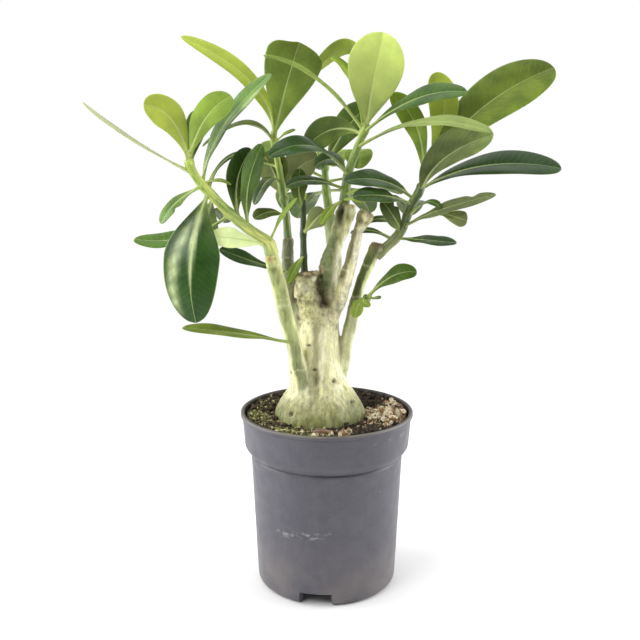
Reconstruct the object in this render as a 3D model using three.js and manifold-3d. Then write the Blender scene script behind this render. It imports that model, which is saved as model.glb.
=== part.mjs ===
// Potted desert rose: a swollen caudex with pruned branches and leafy shoots in a thin nursery pot.
// Millimetres, +Z up. The origin is the middle of the flat pad under the pot; -Y is the front.
import * as THREE from "three";
import { mergeVertices } from "three/addons/utils/BufferGeometryUtils.js";
import Module from "manifold-3d";

const wasm = await Module();
wasm.setup();

// Driving dimensions of the pot
const RIM_RADIUS = 60;
const POT_HEIGHT = 124;
const COLLAR_HEIGHT = 22;
const SHOULDER_HEIGHT = 7;
const LIP_WIDTH = 2.8;
const LIP_HEIGHT = 2.6;
const LIP_EDGE = 0.6;
const COLLAR_TOP_RADIUS = 58.7;
const COLLAR_BOTTOM_RADIUS = 57.3;
const COLLAR_EDGE = 0.9;
const BODY_TOP_RADIUS = 53;
const BODY_BOTTOM_RADIUS = 49;
const CORNER_RADIUS = 5;
const WALL = 1.4;
const FLOOR_RISE = 7.5;
const PAD_RADIUS = 15;
const PAD_SLOPE = 6;
const FOOT_WIDTH = 1;
const POT_SIDES = 36;
const NOTCH_COUNT = 3;
const NOTCH_WIDTH = 24;
const NOTCH_HEIGHT = 7;
const NOTCH_SLANT = 2;
const NOTCH_TURN = THREE.MathUtils.degToRad(-99);
const DRAIN_COUNT = 6;
const DRAIN_RADIUS = 4;
const DRAIN_RING = 31;
const DRAIN_SIDES = 10;

// Driving dimensions of the soil
const SOIL_LEVEL = 119.5;
const SOIL_RELIEF = 0.8;
const SOIL_BACK_DROP = 2.5;
const HEAP = { x: 44, y: -2, height: 5, spread: 13 };
const MOSS_BANK = { x: -36, y: -26, height: 1.6, spread: 16 };
const SOIL_EDGE = 1.2;
const SOIL_RINGS = [48, 41, 34, 20];
const SOIL_SIDES = 32;

// Gap between pieces that stand in one another
const CLEARANCE = 0.3;
const SOCKET_CLEARANCE = 0.45;
const SOCKET_DEPTH = 3;

// Caudex: [height, radius] from the root end in the soil to the fork
const CAUDEX_MIDDLE = [-5, 0];
const CAUDEX_PROFILE = [
  [88, 9],
  [96, 17],
  [106, 26],
  [114, 31],
  [122, 31.5],
  [128, 29.5],
  [133, 26.5],
  [138, 23],
  [143, 19.5],
  [149, 16.8],
  [156, 15],
  [165, 13.8],
  [178, 13.3],
  [190, 12.4],
  [198, 10],
];
const CAUDEX_SIDES = 24;
const FLUTES = [
  { count: 3, depth: 0.025, phase: 0.6 },
  { count: 7, depth: 0.022, phase: 1.9 },
];

// Woody branches: route from the heart of the caudex to the pruned end, with the radius at both ends
const BRANCHES = [
  // front left, long, leaning out
  {
    route: [
      [-13, -8, 116],
      [-15, -10, 132],
      [-17, -13, 149],
      [-20, -14.5, 163],
      [-23, -15.5, 177],
      [-26.3, -17.5, 191],
      [-29.5, -20, 205],
      [-32.2, -24, 219],
      [-35, -28, 231],
      [-36, -29, 239],
    ],
    radius: [5.6, 4.7],
  },
  // flank of the caudex under it
  {
    route: [[-15, -6, 122], [-18, -8, 136], [-20, -9, 150], [-21, -10, 162], [-21.5, -11, 171]],
    radius: [8, 4.2],
  },
  // back left, slender
  {
    route: [
      [-11, 3, 168],
      [-17, 5, 186],
      [-22, 8, 200],
      [-25.6, 13, 213],
      [-27, 17, 226],
      [-27, 22, 242],
    ],
    radius: [5.4, 3.8],
  },
  // blunt knob of the cut leader, with the stub of a bud on its left
  { route: [[-6.5, 0, 188], [-9, -3, 198], [-12.5, -5, 209], [-13, -4, 221.5]], radius: [11, 7.2] },
  { route: [[-13, -5, 207], [-19, -8.5, 209], [-22, -9.5, 209.5]], radius: [6, 3.4] },
  // middle
  {
    route: [
      [-3, 1, 186],
      [1.5, 2, 202],
      [1.5, 3, 218],
      [2, 3.5, 227],
      [4, 4.5, 236],
      [7.5, 5.5, 245],
      [10.5, 6, 256],
      [12.5, 6, 265],
    ],
    radius: [6.6, 5.7],
  },
  // nodule in the fork
  { route: [[-1, -5, 189], [3, -8, 194], [5, -9, 197]], radius: [6, 4.4] },
  // middle right, pruned bare
  {
    route: [
      [-1, -2, 180],
      [4.8, -5, 194],
      [9.5, -7, 203],
      [12.4, -8, 216],
      [15.3, -8, 230],
      [17.4, -8, 243],
      [21, -8, 253],
      [25.6, -8, 264],
    ],
    radius: [5.2, 4.2],
  },
  // right, rising from low on the caudex
  {
    route: [
      [5, 3, 128],
      [8, 1, 142],
      [11.5, -1, 157],
      [13.5, -2, 173],
      [16.8, -1.5, 188],
      [19.6, -1, 201],
      [22.5, 0, 212],
      [27.5, 0, 223],
      [36, 0, 238],
    ],
    radius: [5, 4.6],
  },
  // behind
  { route: [[-4, 4, 156], [0, 18, 180], [4, 32, 208], [5, 42, 234], [2, 48, 256]], radius: [8, 4.6] },
];
const BRANCH_SIDES = 10;
const BRANCH_STEPS = 8;

// Leaf blade
const BLADE_THICKNESS = 0.9;
const PETIOLE_HALF_WIDTH = 1.4;
const PETIOLE_THICKNESS = 2.4;
const TIP_HALF_WIDTH = 0.5;
const PETIOLE_SHARE = 0.25;
const FOLD = 0.2;
const FOLD_SPREAD = 1.6;
const WIDEST_AT = 0.66;
const BASE_TAPER = 1.35;
const BROAD_WIDTH = 24;
const BLADE_STATIONS = [0, 0.12, 0.32, 0.52, 0.7, 0.85, 0.95, 1];

const STEM_SIDES = 7;
const STEM_STEPS = 8;

// Leafy shoots. A leaf is [root, middle of its rib, tip, width, way its upper face looks], and where
// its widest place isn't the usual one, how far along its rib that lies.
const SHOOTS = {
  shoot_left: {
    stem: [
      [-35.5, -28.6, 235.5], [-36.5, -29, 241], [-38, -29.6, 244.5], [-44, -31, 249],
      [-51, -33, 254], [-61, -36, 263], [-70, -40, 273], [-78, -42, 282], [-84, -44, 292],
      [-85, -44, 298],
    ],
    radius: [3.6, 2.4],
    leaves: [
      [[-84, -44, 289], [-116, -50, 309], [-146, -52, 331], 18, [0.55, -0.05, 0.83]],
      [[-85, -44, 295], [-94, -48, 320], [-110, -52, 329], 22, [0.6, -0.75, 0.3], 0.62],
      [[-85, -44, 296], [-75, -41, 320], [-59, -35, 335], 26, [-0.6, -0.75, 0.25]],
      [[-84, -44, 293], [-82, -36, 311], [-81, -28, 327], 13, [0, -1, 0.1]],
      [[-77, -42, 282], [-66, -32, 314], [-35, -22, 349], 23, [-0.75, -0.5, 0.45], 0.74],
      [[-74, -41, 279], [-63, -26, 297], [-42, -8, 301], 5, [0.1, -0.3, 0.95]],
      [[-77, -44, 281], [-91, -54, 272], [-101, -58, 259], 11, [-0.3, -0.6, 0.7]],
      [[-61, -36, 263], [-92, -27, 247], [-126, -18, 245], 17, [-0.1, -0.5, 0.85]],
      [[-74, -41, 276], [-83, -62, 238], [-81, -60, 198], 35, [-0.1, -0.97, 0.1], 0.58],
      [[-40, -31, 243], [-56, -44, 248], [-72, -50, 250], 15, [0.1, -0.8, 0.6]],
      [[-50, -33, 254], [-50, -35, 280], [-41, -30, 306], 17, [0.8, -0.6, 0.1]],
      [[-56, -34, 259], [-57, -31, 283], [-48, -25, 303], 17, [0.4, -0.9, 0.1]],
      [[-37, -29, 243], [-31, -37, 257], [-19, -33, 273], 10, [-0.5, -0.2, 0.85]],
      [[-71, -40, 274], [-81, -10, 249], [-88, 14, 212], 22, [-0.2, 0.6, 0.75]],
      [[-62, -37, 264], [-66, -26, 263], [-68, -10, 255], 15, [0.3, 0.3, 0.9]],
      [[-78, -42, 281], [-69, -38, 284], [-60, -36, 281], 4, [0, -0.5, 0.85]],
    ],
  },
  shoot_back_left: {
    stem: [
      [-26.8, 21.2, 238], [-27.3, 22.6, 244], [-28, 24, 254], [-30, 25, 270], [-32, 24, 285],
      [-35, 22, 301], [-36, 20, 311],
    ],
    radius: [2.7, 2],
    leaves: [
      [[-36, 20, 309], [-50, 12, 345], [-95, 4, 374], 15, [-0.35, -0.55, 0.75], 0.72],
      [[-36, 20, 309], [-28, 15, 341], [-18, 10, 371], 38, [0.1, -1, 0.1], 0.84],
      [[-36, 20, 307], [-54, 6, 319], [-82, -2, 304], 15, [-0.1, 0.15, 0.98]],
      [[-35, 22, 302], [-34, 52, 306], [-46, 78, 292], 22, [0, 0.3, 0.95]],
      [[-33, 24, 290], [-50, 38, 292], [-62, 56, 282], 17, [-0.2, 0.3, 0.9]],
      [[-31, 25, 278], [-40, 17, 281], [-49, 10, 265], 13, [-0.3, -0.4, 0.85]],
      [[-30, 25, 268], [-36, 27, 285], [-44, 29, 299], 26, [0.3, 0.85, 0.4]],
      [[-30, 25, 268], [-22, 29, 287], [-6, 32, 296], 26, [-0.3, 0.85, 0.4]],
      [[-28, 24, 256], [-38, 12, 260], [-49, 4, 256], 15, [-0.1, -0.5, 0.85]],
      [[-30, 25, 268], [-28, 48, 270], [-30, 68, 256], 18, [0.1, 0.35, 0.9]],
      [[-36, 21, 305], [-30, 13, 311], [-21, 9, 315], 6, [0, -0.5, 0.85]],
      [[-35, 22, 302], [-20, 38, 308], [-8, 52, 300], 19, [0.2, 0.2, 0.95]],
    ],
  },
  shoot_centre: {
    stem: [
      [11.6, 6, 261], [11.8, 6, 267], [12.5, 6, 276], [15, 5, 289], [20, 4, 303], [25, 2, 316],
      [26, 2, 320],
    ],
    radius: [3.2, 2.3],
    leaves: [
      [[26, 2, 316], [29, -6, 342], [35, -12, 375], 36, [-0.1, -1, 0.15], 0.72],
      [[24, 4, 314], [17, 8, 346], [2, 8, 361], 19, [0.55, -0.35, 0.75]],
      [[26, 3, 316], [20, 18, 366], [-10, 22, 352], 17, [0.2, 0.45, 0.85]],
      [[24, 2, 314], [-6, -6, 346], [-41, -8, 361], 15, [0.45, 0.1, 0.85]],
      [[25, 0, 314], [57, -10, 334], [89, -14, 338], 20, [-0.3, -0.55, 0.78]],
      [[21, 2, 304], [58, -31, 319], [97, -58, 313], 18, [-0.1, -0.1, 0.97]],
      [[14, 5, 285], [-9, -17, 304], [-37, -26, 298], 24, [0, -0.45, 0.88]],
      [[12, 5, 276], [-10, -4, 282], [-27, -8, 278], 12, [0.1, -0.5, 0.85]],
      [[14, 5, 284], [4, 10, 295], [-8, 14, 290], 17, [0.2, -0.6, 0.75]],
      [[23, 3, 312], [4, 14, 315], [-14, 17, 303], 23, [-0.3, -0.8, 0.45]],
      [[11, 6, 272], [20, -2, 275], [27, -8, 273], 9, [0, -0.5, 0.85]],
      [[10, 5, 268], [3, -6, 264], [-4, -12, 254], 8, [-0.4, -0.7, 0.5]],
      [[11, 5, 269], [19, -3, 270], [25, -5, 268], 7, [0.3, -0.6, 0.7]],
      [[13, 5, 280], [34, 28, 279], [54, 48, 270], 20, [0, 0.3, 0.95]],
      [[18, 4, 298], [22, 34, 300], [22, 44, 288], 20, [0, 0.35, 0.93]],
    ],
  },
  shoot_right: {
    stem: [
      [36.5, 0, 234], [39, 0, 237], [43, 0, 240.5], [47, -1, 245], [51, -4, 253],
      [55, -8, 266], [60, -10, 275], [62, -9, 281],
    ],
    radius: [3.4, 2.3],
    leaves: [
      [[60, -10, 274], [74, -21, 297], [104, -28, 312], 41, [-0.45, 0.6, 0.66], 0.7],
      [[61, -9, 278], [96, 0, 324], [150, 12, 355], 37, [-0.4, -0.8, 0.45], 0.72],
      [[60, -9, 276], [106, 12, 291], [160, 18, 289], 26, [-0.05, -0.6, 0.8], 0.75],
      [[62, -9, 280], [77, 5, 322], [69, 9, 351], 20, [-0.3, -0.9, 0.1]],
      [[62, -9, 281], [60, 5, 315], [42, 10, 338], 16, [-0.6, -0.7, 0.3]],
      [[51, -4, 252], [72, -24, 264], [106, -34, 275], 14, [-0.1, -0.5, 0.85]],
      [[70, -23, 263], [82, -28, 260], [89, -29, 258], 11, [0, -0.9, 0.4]],
      [[47, -1, 244], [64, -16, 244], [84, -22, 243], 15, [0, -0.35, 0.93]],
      [[49, -2, 248], [44, -12, 258], [35, -15, 270], 15, [0.5, -0.8, 0.3]],
      [[57, -9, 270], [36, -12, 282], [11, -16, 282], 21, [-0.1, -0.5, 0.86]],
      [[56, -8, 267], [37, -22, 273], [16, -26, 273], 16, [0.1, -0.55, 0.82]],
      [[54, -7, 260], [64, -20, 269], [72, -26, 266], 9, [0.2, -0.5, 0.85]],
      [[45, 0, 242], [30, 6, 248], [16, 9, 246], 6, [0, -0.6, 0.8]],
      [[50, -3, 250], [39, 2, 256], [28, 5, 254], 7, [0, -0.6, 0.8]],
      [[59, -9, 273], [74, 22, 293], [90, 50, 292], 22, [0, 0.3, 0.95]],
      [[53, -5, 259], [58, 24, 266], [60, 50, 254], 20, [0, 0.35, 0.93]],
    ],
  },
  shoot_small: {
    stem: [[-15, -1.5, 217], [-15.5, 2, 225], [-16, 6, 242], [-16, 8, 255], [-16, 9, 270]],
    radius: [2.3, 2],
    leaves: [
      [[-16, 9, 262], [-19, 3, 275], [-18, 1, 290], 13, [0.4, -0.9, 0.1]],
      [[-16, 6.5, 246], [-8, -1, 256], [-1, -4, 262], 14, [0.4, -0.75, 0.5]],
      [[-15.8, 3.5, 231], [-20, -4, 226], [-26, -9, 214], 8, [-0.5, -0.8, 0.3]],
      [[-16, 9, 264], [-14, 22, 272], [-16, 36, 264], 14, [0, 0.3, 0.95]],
    ],
  },
  sprout_right: {
    stem: [[21, -1, 200], [25, -4.5, 202], [28, -7, 205]],
    radius: [1.9, 1.5],
    leaves: [
      [[27, -6, 204], [43, -16, 220], [59, -18, 223], 15, [-0.35, -0.6, 0.7]],
      [[27, -6, 204], [24, -11, 203], [29, -14, 200], 6, [0.1, -0.95, 0.2]],
      [[27, -6, 204], [21, -11, 200], [19, -14, 192], 9, [0.1, -0.95, 0.3]],
      [[27, -6, 204], [32, -12, 205], [36, -15, 206], 4, [0.2, -0.6, 0.75]],
    ],
  },
  shoot_back: {
    stem: [[2.4, 47.6, 253], [1.8, 48.8, 259], [0, 52, 270], [-1, 54, 284], [-1, 54, 292]],
    radius: [3.4, 2.2],
    leaves: [
      [[-1, 54, 289], [13, 58, 314], [31, 62, 333], 25, [-0.4, -0.85, 0.3]],
      [[-1, 54, 290], [-18, 68, 303], [-36, 86, 300], 22, [0, 0.2, 0.98]],
      [[-1, 54, 288], [4, 84, 299], [6, 112, 287], 25, [0, 0.3, 0.95]],
      [[0, 53, 278], [28, 66, 280], [54, 76, 268], 22, [0, 0.1, 0.98]],
      [[0, 53, 280], [-26, 76, 286], [-50, 92, 270], 22, [0, 0.1, 0.98]],
      [[0, 52, 272], [22, 78, 268], [34, 98, 252], 20, [0, 0.4, 0.92]],
      [[0, 52, 272], [-14, 78, 264], [-22, 98, 248], 20, [0, 0.4, 0.92]],
    ],
  },
};

// Leaves that grow straight from old wood, in the same form
const LOOSE_LEAVES = {
  leaf_low_left: [[-24, -18, 176], [-56, -42, 187], [-92, -46, 192], 18, [0, -0.2, 0.97]],
  leaf_behind_left: [[-25, 14, 218], [-48, -6, 228], [-71, -14, 238], 16, [-0.1, -0.5, 0.85]],
};

const vector = (p) => new THREE.Vector3(...p);
const bump = (x, y, spot) =>
  spot.height * Math.exp(-((x - spot.x) ** 2 + (y - spot.y) ** 2) / spot.spread ** 2);

// A closed mesh as a solid: shared vertices merged, and triangles that collapsed at a pole dropped.
function solidOf(geometry) {
  const bare = new THREE.BufferGeometry();
  bare.setAttribute("position", geometry.getAttribute("position"));
  bare.setIndex(geometry.getIndex());
  const merged = mergeVertices(bare, 1e-4);
  const index = merged.getIndex().array;
  const kept = [];
  for (let i = 0; i < index.length; i += 3) {
    const [a, b, c] = [index[i], index[i + 1], index[i + 2]];
    if (a !== b && b !== c && a !== c) kept.push(a, b, c);
  }
  return new wasm.Manifold(
    new wasm.Mesh({
      numProp: 3,
      vertProperties: new Float32Array(merged.getAttribute("position").array),
      triVerts: new Uint32Array(kept),
    }),
  );
}

function geometryOf(solid) {
  const mesh = solid.getMesh();
  const geometry = new THREE.BufferGeometry();
  geometry.setAttribute("position", new THREE.BufferAttribute(mesh.vertProperties, 3));
  geometry.setIndex(new THREE.BufferAttribute(mesh.triVerts, 1));
  geometry.computeVertexNormals();
  return geometry;
}

function union(solids) {
  return solids.reduce((whole, next) => whole.add(next));
}

function indexed(points, triangles) {
  const geometry = new THREE.BufferGeometry().setFromPoints(points);
  geometry.setIndex(triangles);
  return geometry;
}

// A closed skin over rings of equal count, each ring counter-clockwise about the way it advances.
function skin(rings) {
  const count = rings[0].length;
  const points = rings.flat();
  const triangles = [];
  for (let i = 0; i + 1 < rings.length; i++) {
    for (let j = 0; j < count; j++) {
      const a = i * count + j;
      const b = i * count + ((j + 1) % count);
      triangles.push(a, b, b + count, a, b + count, a + count);
    }
  }
  for (const [ring, forward] of [[0, false], [rings.length - 1, true]]) {
    const middle = points.length;
    const sum = rings[ring].reduce((s, p) => s.add(p), new THREE.Vector3());
    points.push(sum.divideScalar(count));
    for (let j = 0; j < count; j++) {
      const a = ring * count + j;
      const b = ring * count + ((j + 1) % count);
      triangles.push(...(forward ? [middle, a, b] : [middle, b, a]));
    }
  }
  return indexed(points, triangles);
}

// A round stem along a route, tapering from the first radius to the second.
function stem(route, [first, last], sides, steps, grow = 0) {
  const curve = new THREE.CatmullRomCurve3(route.map(vector), false, "centripetal");
  const { normals, binormals } = curve.computeFrenetFrames(steps, false);
  const rings = [];
  for (let i = 0; i <= steps; i++) {
    const middle = curve.getPointAt(i / steps);
    const radius = THREE.MathUtils.lerp(first, last, i / steps) + grow;
    const ring = [];
    for (let j = 0; j < sides; j++) {
      const turn = (2 * Math.PI * j) / sides;
      const point = middle.clone().addScaledVector(normals[i], radius * Math.cos(turn));
      ring.push(point.addScaledVector(binormals[i], radius * Math.sin(turn)));
    }
    rings.push(ring);
  }
  return skin(rings);
}

// Pot: one closed turned profile, with notches through the foot and drain holes in the raised floor
function potProfile() {
  const collarBottom = POT_HEIGHT - COLLAR_HEIGHT;
  const bodyTop = collarBottom - SHOULDER_HEIGHT;
  const cornerMiddle = BODY_BOTTOM_RADIUS - CORNER_RADIUS;
  const floorEdge = BODY_BOTTOM_RADIUS - WALL;
  const points = [
    [0, 0],
    [PAD_RADIUS, 0],
    [PAD_RADIUS + PAD_SLOPE, FLOOR_RISE],
    [cornerMiddle - 2 * FOOT_WIDTH, FLOOR_RISE],
    [cornerMiddle - FOOT_WIDTH, 0],
    [cornerMiddle, 0],
  ];
  for (const turn of [-60, -30, 0]) {
    const angle = THREE.MathUtils.degToRad(turn);
    const across = cornerMiddle + CORNER_RADIUS * Math.cos(angle);
    points.push([across, CORNER_RADIUS * (1 + Math.sin(angle))]);
  }
  points.push(
    [BODY_TOP_RADIUS, bodyTop],
    [COLLAR_BOTTOM_RADIUS - COLLAR_EDGE, collarBottom - 2 * COLLAR_EDGE],
    [COLLAR_BOTTOM_RADIUS, collarBottom],
    [COLLAR_TOP_RADIUS, POT_HEIGHT - LIP_HEIGHT - LIP_EDGE],
    [RIM_RADIUS, POT_HEIGHT - LIP_HEIGHT],
    [RIM_RADIUS, POT_HEIGHT - LIP_EDGE],
    [RIM_RADIUS - LIP_EDGE, POT_HEIGHT],
    [RIM_RADIUS - LIP_WIDTH + LIP_EDGE, POT_HEIGHT],
    [RIM_RADIUS - LIP_WIDTH, POT_HEIGHT - 2 * LIP_EDGE],
    [COLLAR_BOTTOM_RADIUS - WALL, collarBottom + LIP_EDGE],
    [BODY_TOP_RADIUS - WALL, bodyTop + LIP_EDGE],
    [floorEdge, FLOOR_RISE + WALL + FOOT_WIDTH],
    [floorEdge - FOOT_WIDTH, FLOOR_RISE + WALL],
    [PAD_RADIUS + PAD_SLOPE - LIP_EDGE, FLOOR_RISE + WALL],
    [PAD_RADIUS - LIP_EDGE, WALL],
    [0, WALL],
  );
  return points.map(([x, y]) => new THREE.Vector2(x, y));
}

// A turned profile stands on +Z, its first point lowest on the axis.
function turned(profile, sides) {
  return new THREE.LatheGeometry(profile, sides).rotateX(Math.PI / 2);
}

// A drain notch is wider at the foot than at its top.
function notch(turn) {
  const half = NOTCH_WIDTH / 2;
  const outline = new THREE.Shape([
    new THREE.Vector2(-half, -FOOT_WIDTH),
    new THREE.Vector2(half, -FOOT_WIDTH),
    new THREE.Vector2(half - NOTCH_SLANT, NOTCH_HEIGHT),
    new THREE.Vector2(NOTCH_SLANT - half, NOTCH_HEIGHT),
  ]);
  const inside = DRAIN_RING + DRAIN_RADIUS;
  const depth = BODY_BOTTOM_RADIUS + FOOT_WIDTH - inside;
  const block = new THREE.ExtrudeGeometry(outline, { depth, bevelEnabled: false });
  block.rotateX(Math.PI / 2).rotateZ(Math.PI / 2);
  block.translate(inside, 0, 0).rotateZ(turn);
  return solidOf(block);
}

function drain(turn) {
  const depth = FLOOR_RISE + 2 * WALL;
  const hole = new THREE.CylinderGeometry(DRAIN_RADIUS, DRAIN_RADIUS, depth, DRAIN_SIDES);
  hole.rotateX(Math.PI / 2).translate(DRAIN_RING, 0, FLOOR_RISE).rotateZ(turn);
  return solidOf(hole);
}

function makePot() {
  let pot = solidOf(turned(potProfile(), POT_SIDES));
  for (let i = 0; i < NOTCH_COUNT; i++) {
    pot = pot.subtract(notch(NOTCH_TURN + (2 * Math.PI * i) / NOTCH_COUNT));
  }
  for (let i = 0; i < DRAIN_COUNT; i++) {
    pot = pot.subtract(drain(NOTCH_TURN + (2 * Math.PI * (i + 0.5)) / DRAIN_COUNT));
  }
  return pot;
}

// Soil: height of its crumbly top at a place, highest at the heap and lower at the back
function soilHeight(x, y) {
  const crumbs = Math.sin(0.31 * x + 1.1) * Math.cos(0.37 * y) + 0.7 * Math.sin(0.62 * y - 0.45 * x);
  const back = SOIL_BACK_DROP * THREE.MathUtils.smoothstep(y, 0, 50);
  return SOIL_LEVEL + SOIL_RELIEF * crumbs + bump(x, y, HEAP) + bump(x, y, MOSS_BANK) - back;
}

function makeSoil() {
  const collarBottom = POT_HEIGHT - COLLAR_HEIGHT;
  const bodyTop = collarBottom - SHOULDER_HEIGHT;
  const bottom = FLOOR_RISE + WALL + CLEARANCE;
  const side = BODY_BOTTOM_RADIUS - WALL - CLEARANCE;
  const top = COLLAR_BOTTOM_RADIUS - WALL - CLEARANCE;
  const profile = [
    [0, bottom],
    [side - SOIL_EDGE, bottom],
    [side, bottom + SOIL_EDGE],
    [BODY_TOP_RADIUS - WALL - CLEARANCE, bodyTop + LIP_EDGE],
    [top, collarBottom + COLLAR_EDGE],
    ...[top, ...SOIL_RINGS, 0].map((across) => [across, SOIL_LEVEL]),
  ].map(([x, y]) => new THREE.Vector2(x, y));
  const geometry = turned(profile, SOIL_SIDES);
  const place = geometry.getAttribute("position");
  for (let i = 0; i < place.count; i++) {
    if (Math.abs(place.getZ(i) - SOIL_LEVEL) > 0.01) continue;
    place.setZ(i, soilHeight(place.getX(i), place.getY(i)));
  }
  return solidOf(geometry).subtract(solidOf(caudex(CLEARANCE)));
}

// Caudex: a fluted swelling that narrows to the trunk
function caudex(grow) {
  const rings = CAUDEX_PROFILE.map(([height, radius]) => {
    const ring = [];
    for (let j = 0; j < CAUDEX_SIDES; j++) {
      const turn = (2 * Math.PI * j) / CAUDEX_SIDES;
      const flutes = FLUTES.reduce((sum, f) => sum + f.depth * Math.cos(f.count * turn + f.phase), 1);
      const across = radius * flutes + grow;
      const x = CAUDEX_MIDDLE[0] + across * Math.cos(turn);
      ring.push(new THREE.Vector3(x, CAUDEX_MIDDLE[1] + across * Math.sin(turn), height));
    }
    return ring;
  });
  rings[0].forEach((p) => (p.z -= grow));
  return skin(rings);
}

// The hole in old wood that a shoot or a leaf stands in
function socket(route, radius) {
  const from = vector(route[0]);
  const way = vector(route[1]).sub(from).normalize();
  const start = from.clone().addScaledVector(way, -CLEARANCE);
  const end = from.clone().addScaledVector(way, SOCKET_DEPTH);
  const far = vector(route[1]).addScaledVector(way, SOCKET_DEPTH);
  const points = [start, end, far].map((p) => p.toArray());
  return solidOf(stem(points, [radius, radius], STEM_SIDES, 2, SOCKET_CLEARANCE));
}

function makeTrunk() {
  const limbs = BRANCHES.map((b) => solidOf(stem(b.route, b.radius, BRANCH_SIDES, BRANCH_STEPS)));
  let trunk = union([solidOf(caudex(0)), ...limbs]);
  for (const shoot of Object.values(SHOOTS)) {
    trunk = trunk.subtract(socket(shoot.stem, shoot.radius[0]));
  }
  for (const [root, middle, tip] of Object.values(LOOSE_LEAVES)) {
    const near = ribOf(root, middle, tip).getPoint(PETIOLE_SHARE / 2).toArray();
    trunk = trunk.subtract(socket([root, near], (PETIOLE_HALF_WIDTH + PETIOLE_THICKNESS) / 2));
  }
  return trunk;
}

// Half width of a spatulate blade: a wedge from the petiole to its widest place, then a round tip
function halfWidth(along, width, widest) {
  const wedge = Math.sin((Math.PI / 2) * Math.min(1, along / widest) ** BASE_TAPER);
  const past = Math.max(0, along - widest) / (1 - widest);
  const least = THREE.MathUtils.lerp(PETIOLE_HALF_WIDTH, TIP_HALF_WIDTH, along);
  return Math.max(least, (width / 2) * wedge * Math.sqrt(1 - past ** 2));
}

// The rib of a leaf passes through all three of its places.
function ribOf(root, middle, tip) {
  const [from, through, to] = [root, middle, tip].map(vector);
  const pull = through.clone().multiplyScalar(2).addScaledVector(from.clone().add(to), -0.5);
  return new THREE.QuadraticBezierCurve3(from, pull, to);
}

// A leaf: a thin closed blade, folded along its rib, with both faces split into triangles alike
function leaf([root, middle, tip, width, face, widest = WIDEST_AT]) {
  const rib = ribOf(root, middle, tip);
  const lines = width > BROAD_WIDTH ? [-1, -0.5, 0, 0.5, 1] : [-1, 0, 1];
  const [upper, lower] = [[], []];
  for (const along of BLADE_STATIONS) {
    const ahead = rib.getTangent(along);
    const up = vector(face).projectOnPlane(ahead).normalize();
    const side = up.clone().cross(ahead);
    const half = halfWidth(along, width, widest);
    const spread = Math.min(1, along / PETIOLE_SHARE);
    const thick = THREE.MathUtils.lerp(PETIOLE_THICKNESS, BLADE_THICKNESS, spread);
    for (const line of lines) {
      const rise = half * FOLD * Math.abs(line) * (FOLD_SPREAD - Math.abs(line));
      const point = rib.getPoint(along).addScaledVector(side, line * half).addScaledVector(up, rise);
      upper.push(point.clone().addScaledVector(up, thick / 2));
      lower.push(point.clone().addScaledVector(up, -thick / 2));
    }
  }
  return solidOf(blade(upper, lower, BLADE_STATIONS.length, lines.length));
}

// Two like grids of points joined round their edges
function blade(upper, lower, rows, columns) {
  const under = upper.length;
  const triangles = [];
  const quad = (a, b, c, d) => triangles.push(a, b, c, a, c, d);
  for (let i = 0; i + 1 < rows; i++) {
    for (let j = 0; j + 1 < columns; j++) {
      const a = i * columns + j;
      const [b, c, d] = [a + columns, a + columns + 1, a + 1];
      quad(a, b, c, d);
      triangles.push(under + a, under + c, under + b, under + a, under + d, under + c);
    }
    const left = i * columns;
    const right = left + columns - 1;
    quad(left, under + left, under + left + columns, left + columns);
    quad(right, right + columns, under + right + columns, under + right);
  }
  const last = (rows - 1) * columns;
  for (let j = 0; j + 1 < columns; j++) {
    quad(j, j + 1, under + j + 1, under + j);
    quad(last + j, under + last + j, under + last + j + 1, last + j + 1);
  }
  return indexed([...upper, ...lower], triangles);
}

function makeShoot({ stem: route, radius, leaves }) {
  return union([solidOf(stem(route, radius, STEM_SIDES, STEM_STEPS)), ...leaves.map(leaf)]);
}

// Finishes
const finish = (color, roughness) =>
  new THREE.MeshStandardMaterial({ color, roughness, metalness: 0 });
const GREY_PLASTIC = finish(0x66636c, 0.5);
const PEAT = finish(0x2e2219, 0.95);
const PALE_BARK = finish(0xc3c59a, 0.7);
const LEAF_COLOURS = {
  shoot_left: finish(0x5f8f3c, 0.4),
  shoot_back_left: finish(0x6f9a40, 0.4),
  shoot_centre: finish(0x79a544, 0.4),
  shoot_right: finish(0x5f8a46, 0.4),
  shoot_small: finish(0x6c8c55, 0.4),
  sprout_right: finish(0x4a7636, 0.4),
  shoot_back: finish(0x3d6a34, 0.4),
  leaf_low_left: finish(0x4f7d3c, 0.4),
  leaf_behind_left: finish(0x3f6d34, 0.4),
};

const plant = new THREE.Group();

function place(name, solid, material) {
  const mesh = new THREE.Mesh(geometryOf(solid), material);
  mesh.name = name;
  plant.add(mesh);
}

place("pot", makePot(), GREY_PLASTIC);
place("soil", makeSoil(), PEAT);
place("trunk", makeTrunk(), PALE_BARK);
for (const [name, shoot] of Object.entries(SHOOTS)) {
  place(name, makeShoot(shoot), LEAF_COLOURS[name]);
}
for (const [name, form] of Object.entries(LOOSE_LEAVES)) {
  place(name, leaf(form), LEAF_COLOURS[name]);
}

export default plant;
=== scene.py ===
"""A potted desert rose: a swollen caudex with pruned branches and leafy shoots in a nursery pot.

The tables below hold millimetres in the part's own frame, with +Z up and -Y towards the viewer.
"""

from __future__ import annotations

import functools
import logging
import math
from collections.abc import Callable
from dataclasses import dataclass, field
from enum import Enum
from random import Random

import bpy
import numpy as np
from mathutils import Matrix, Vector, noise

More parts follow.
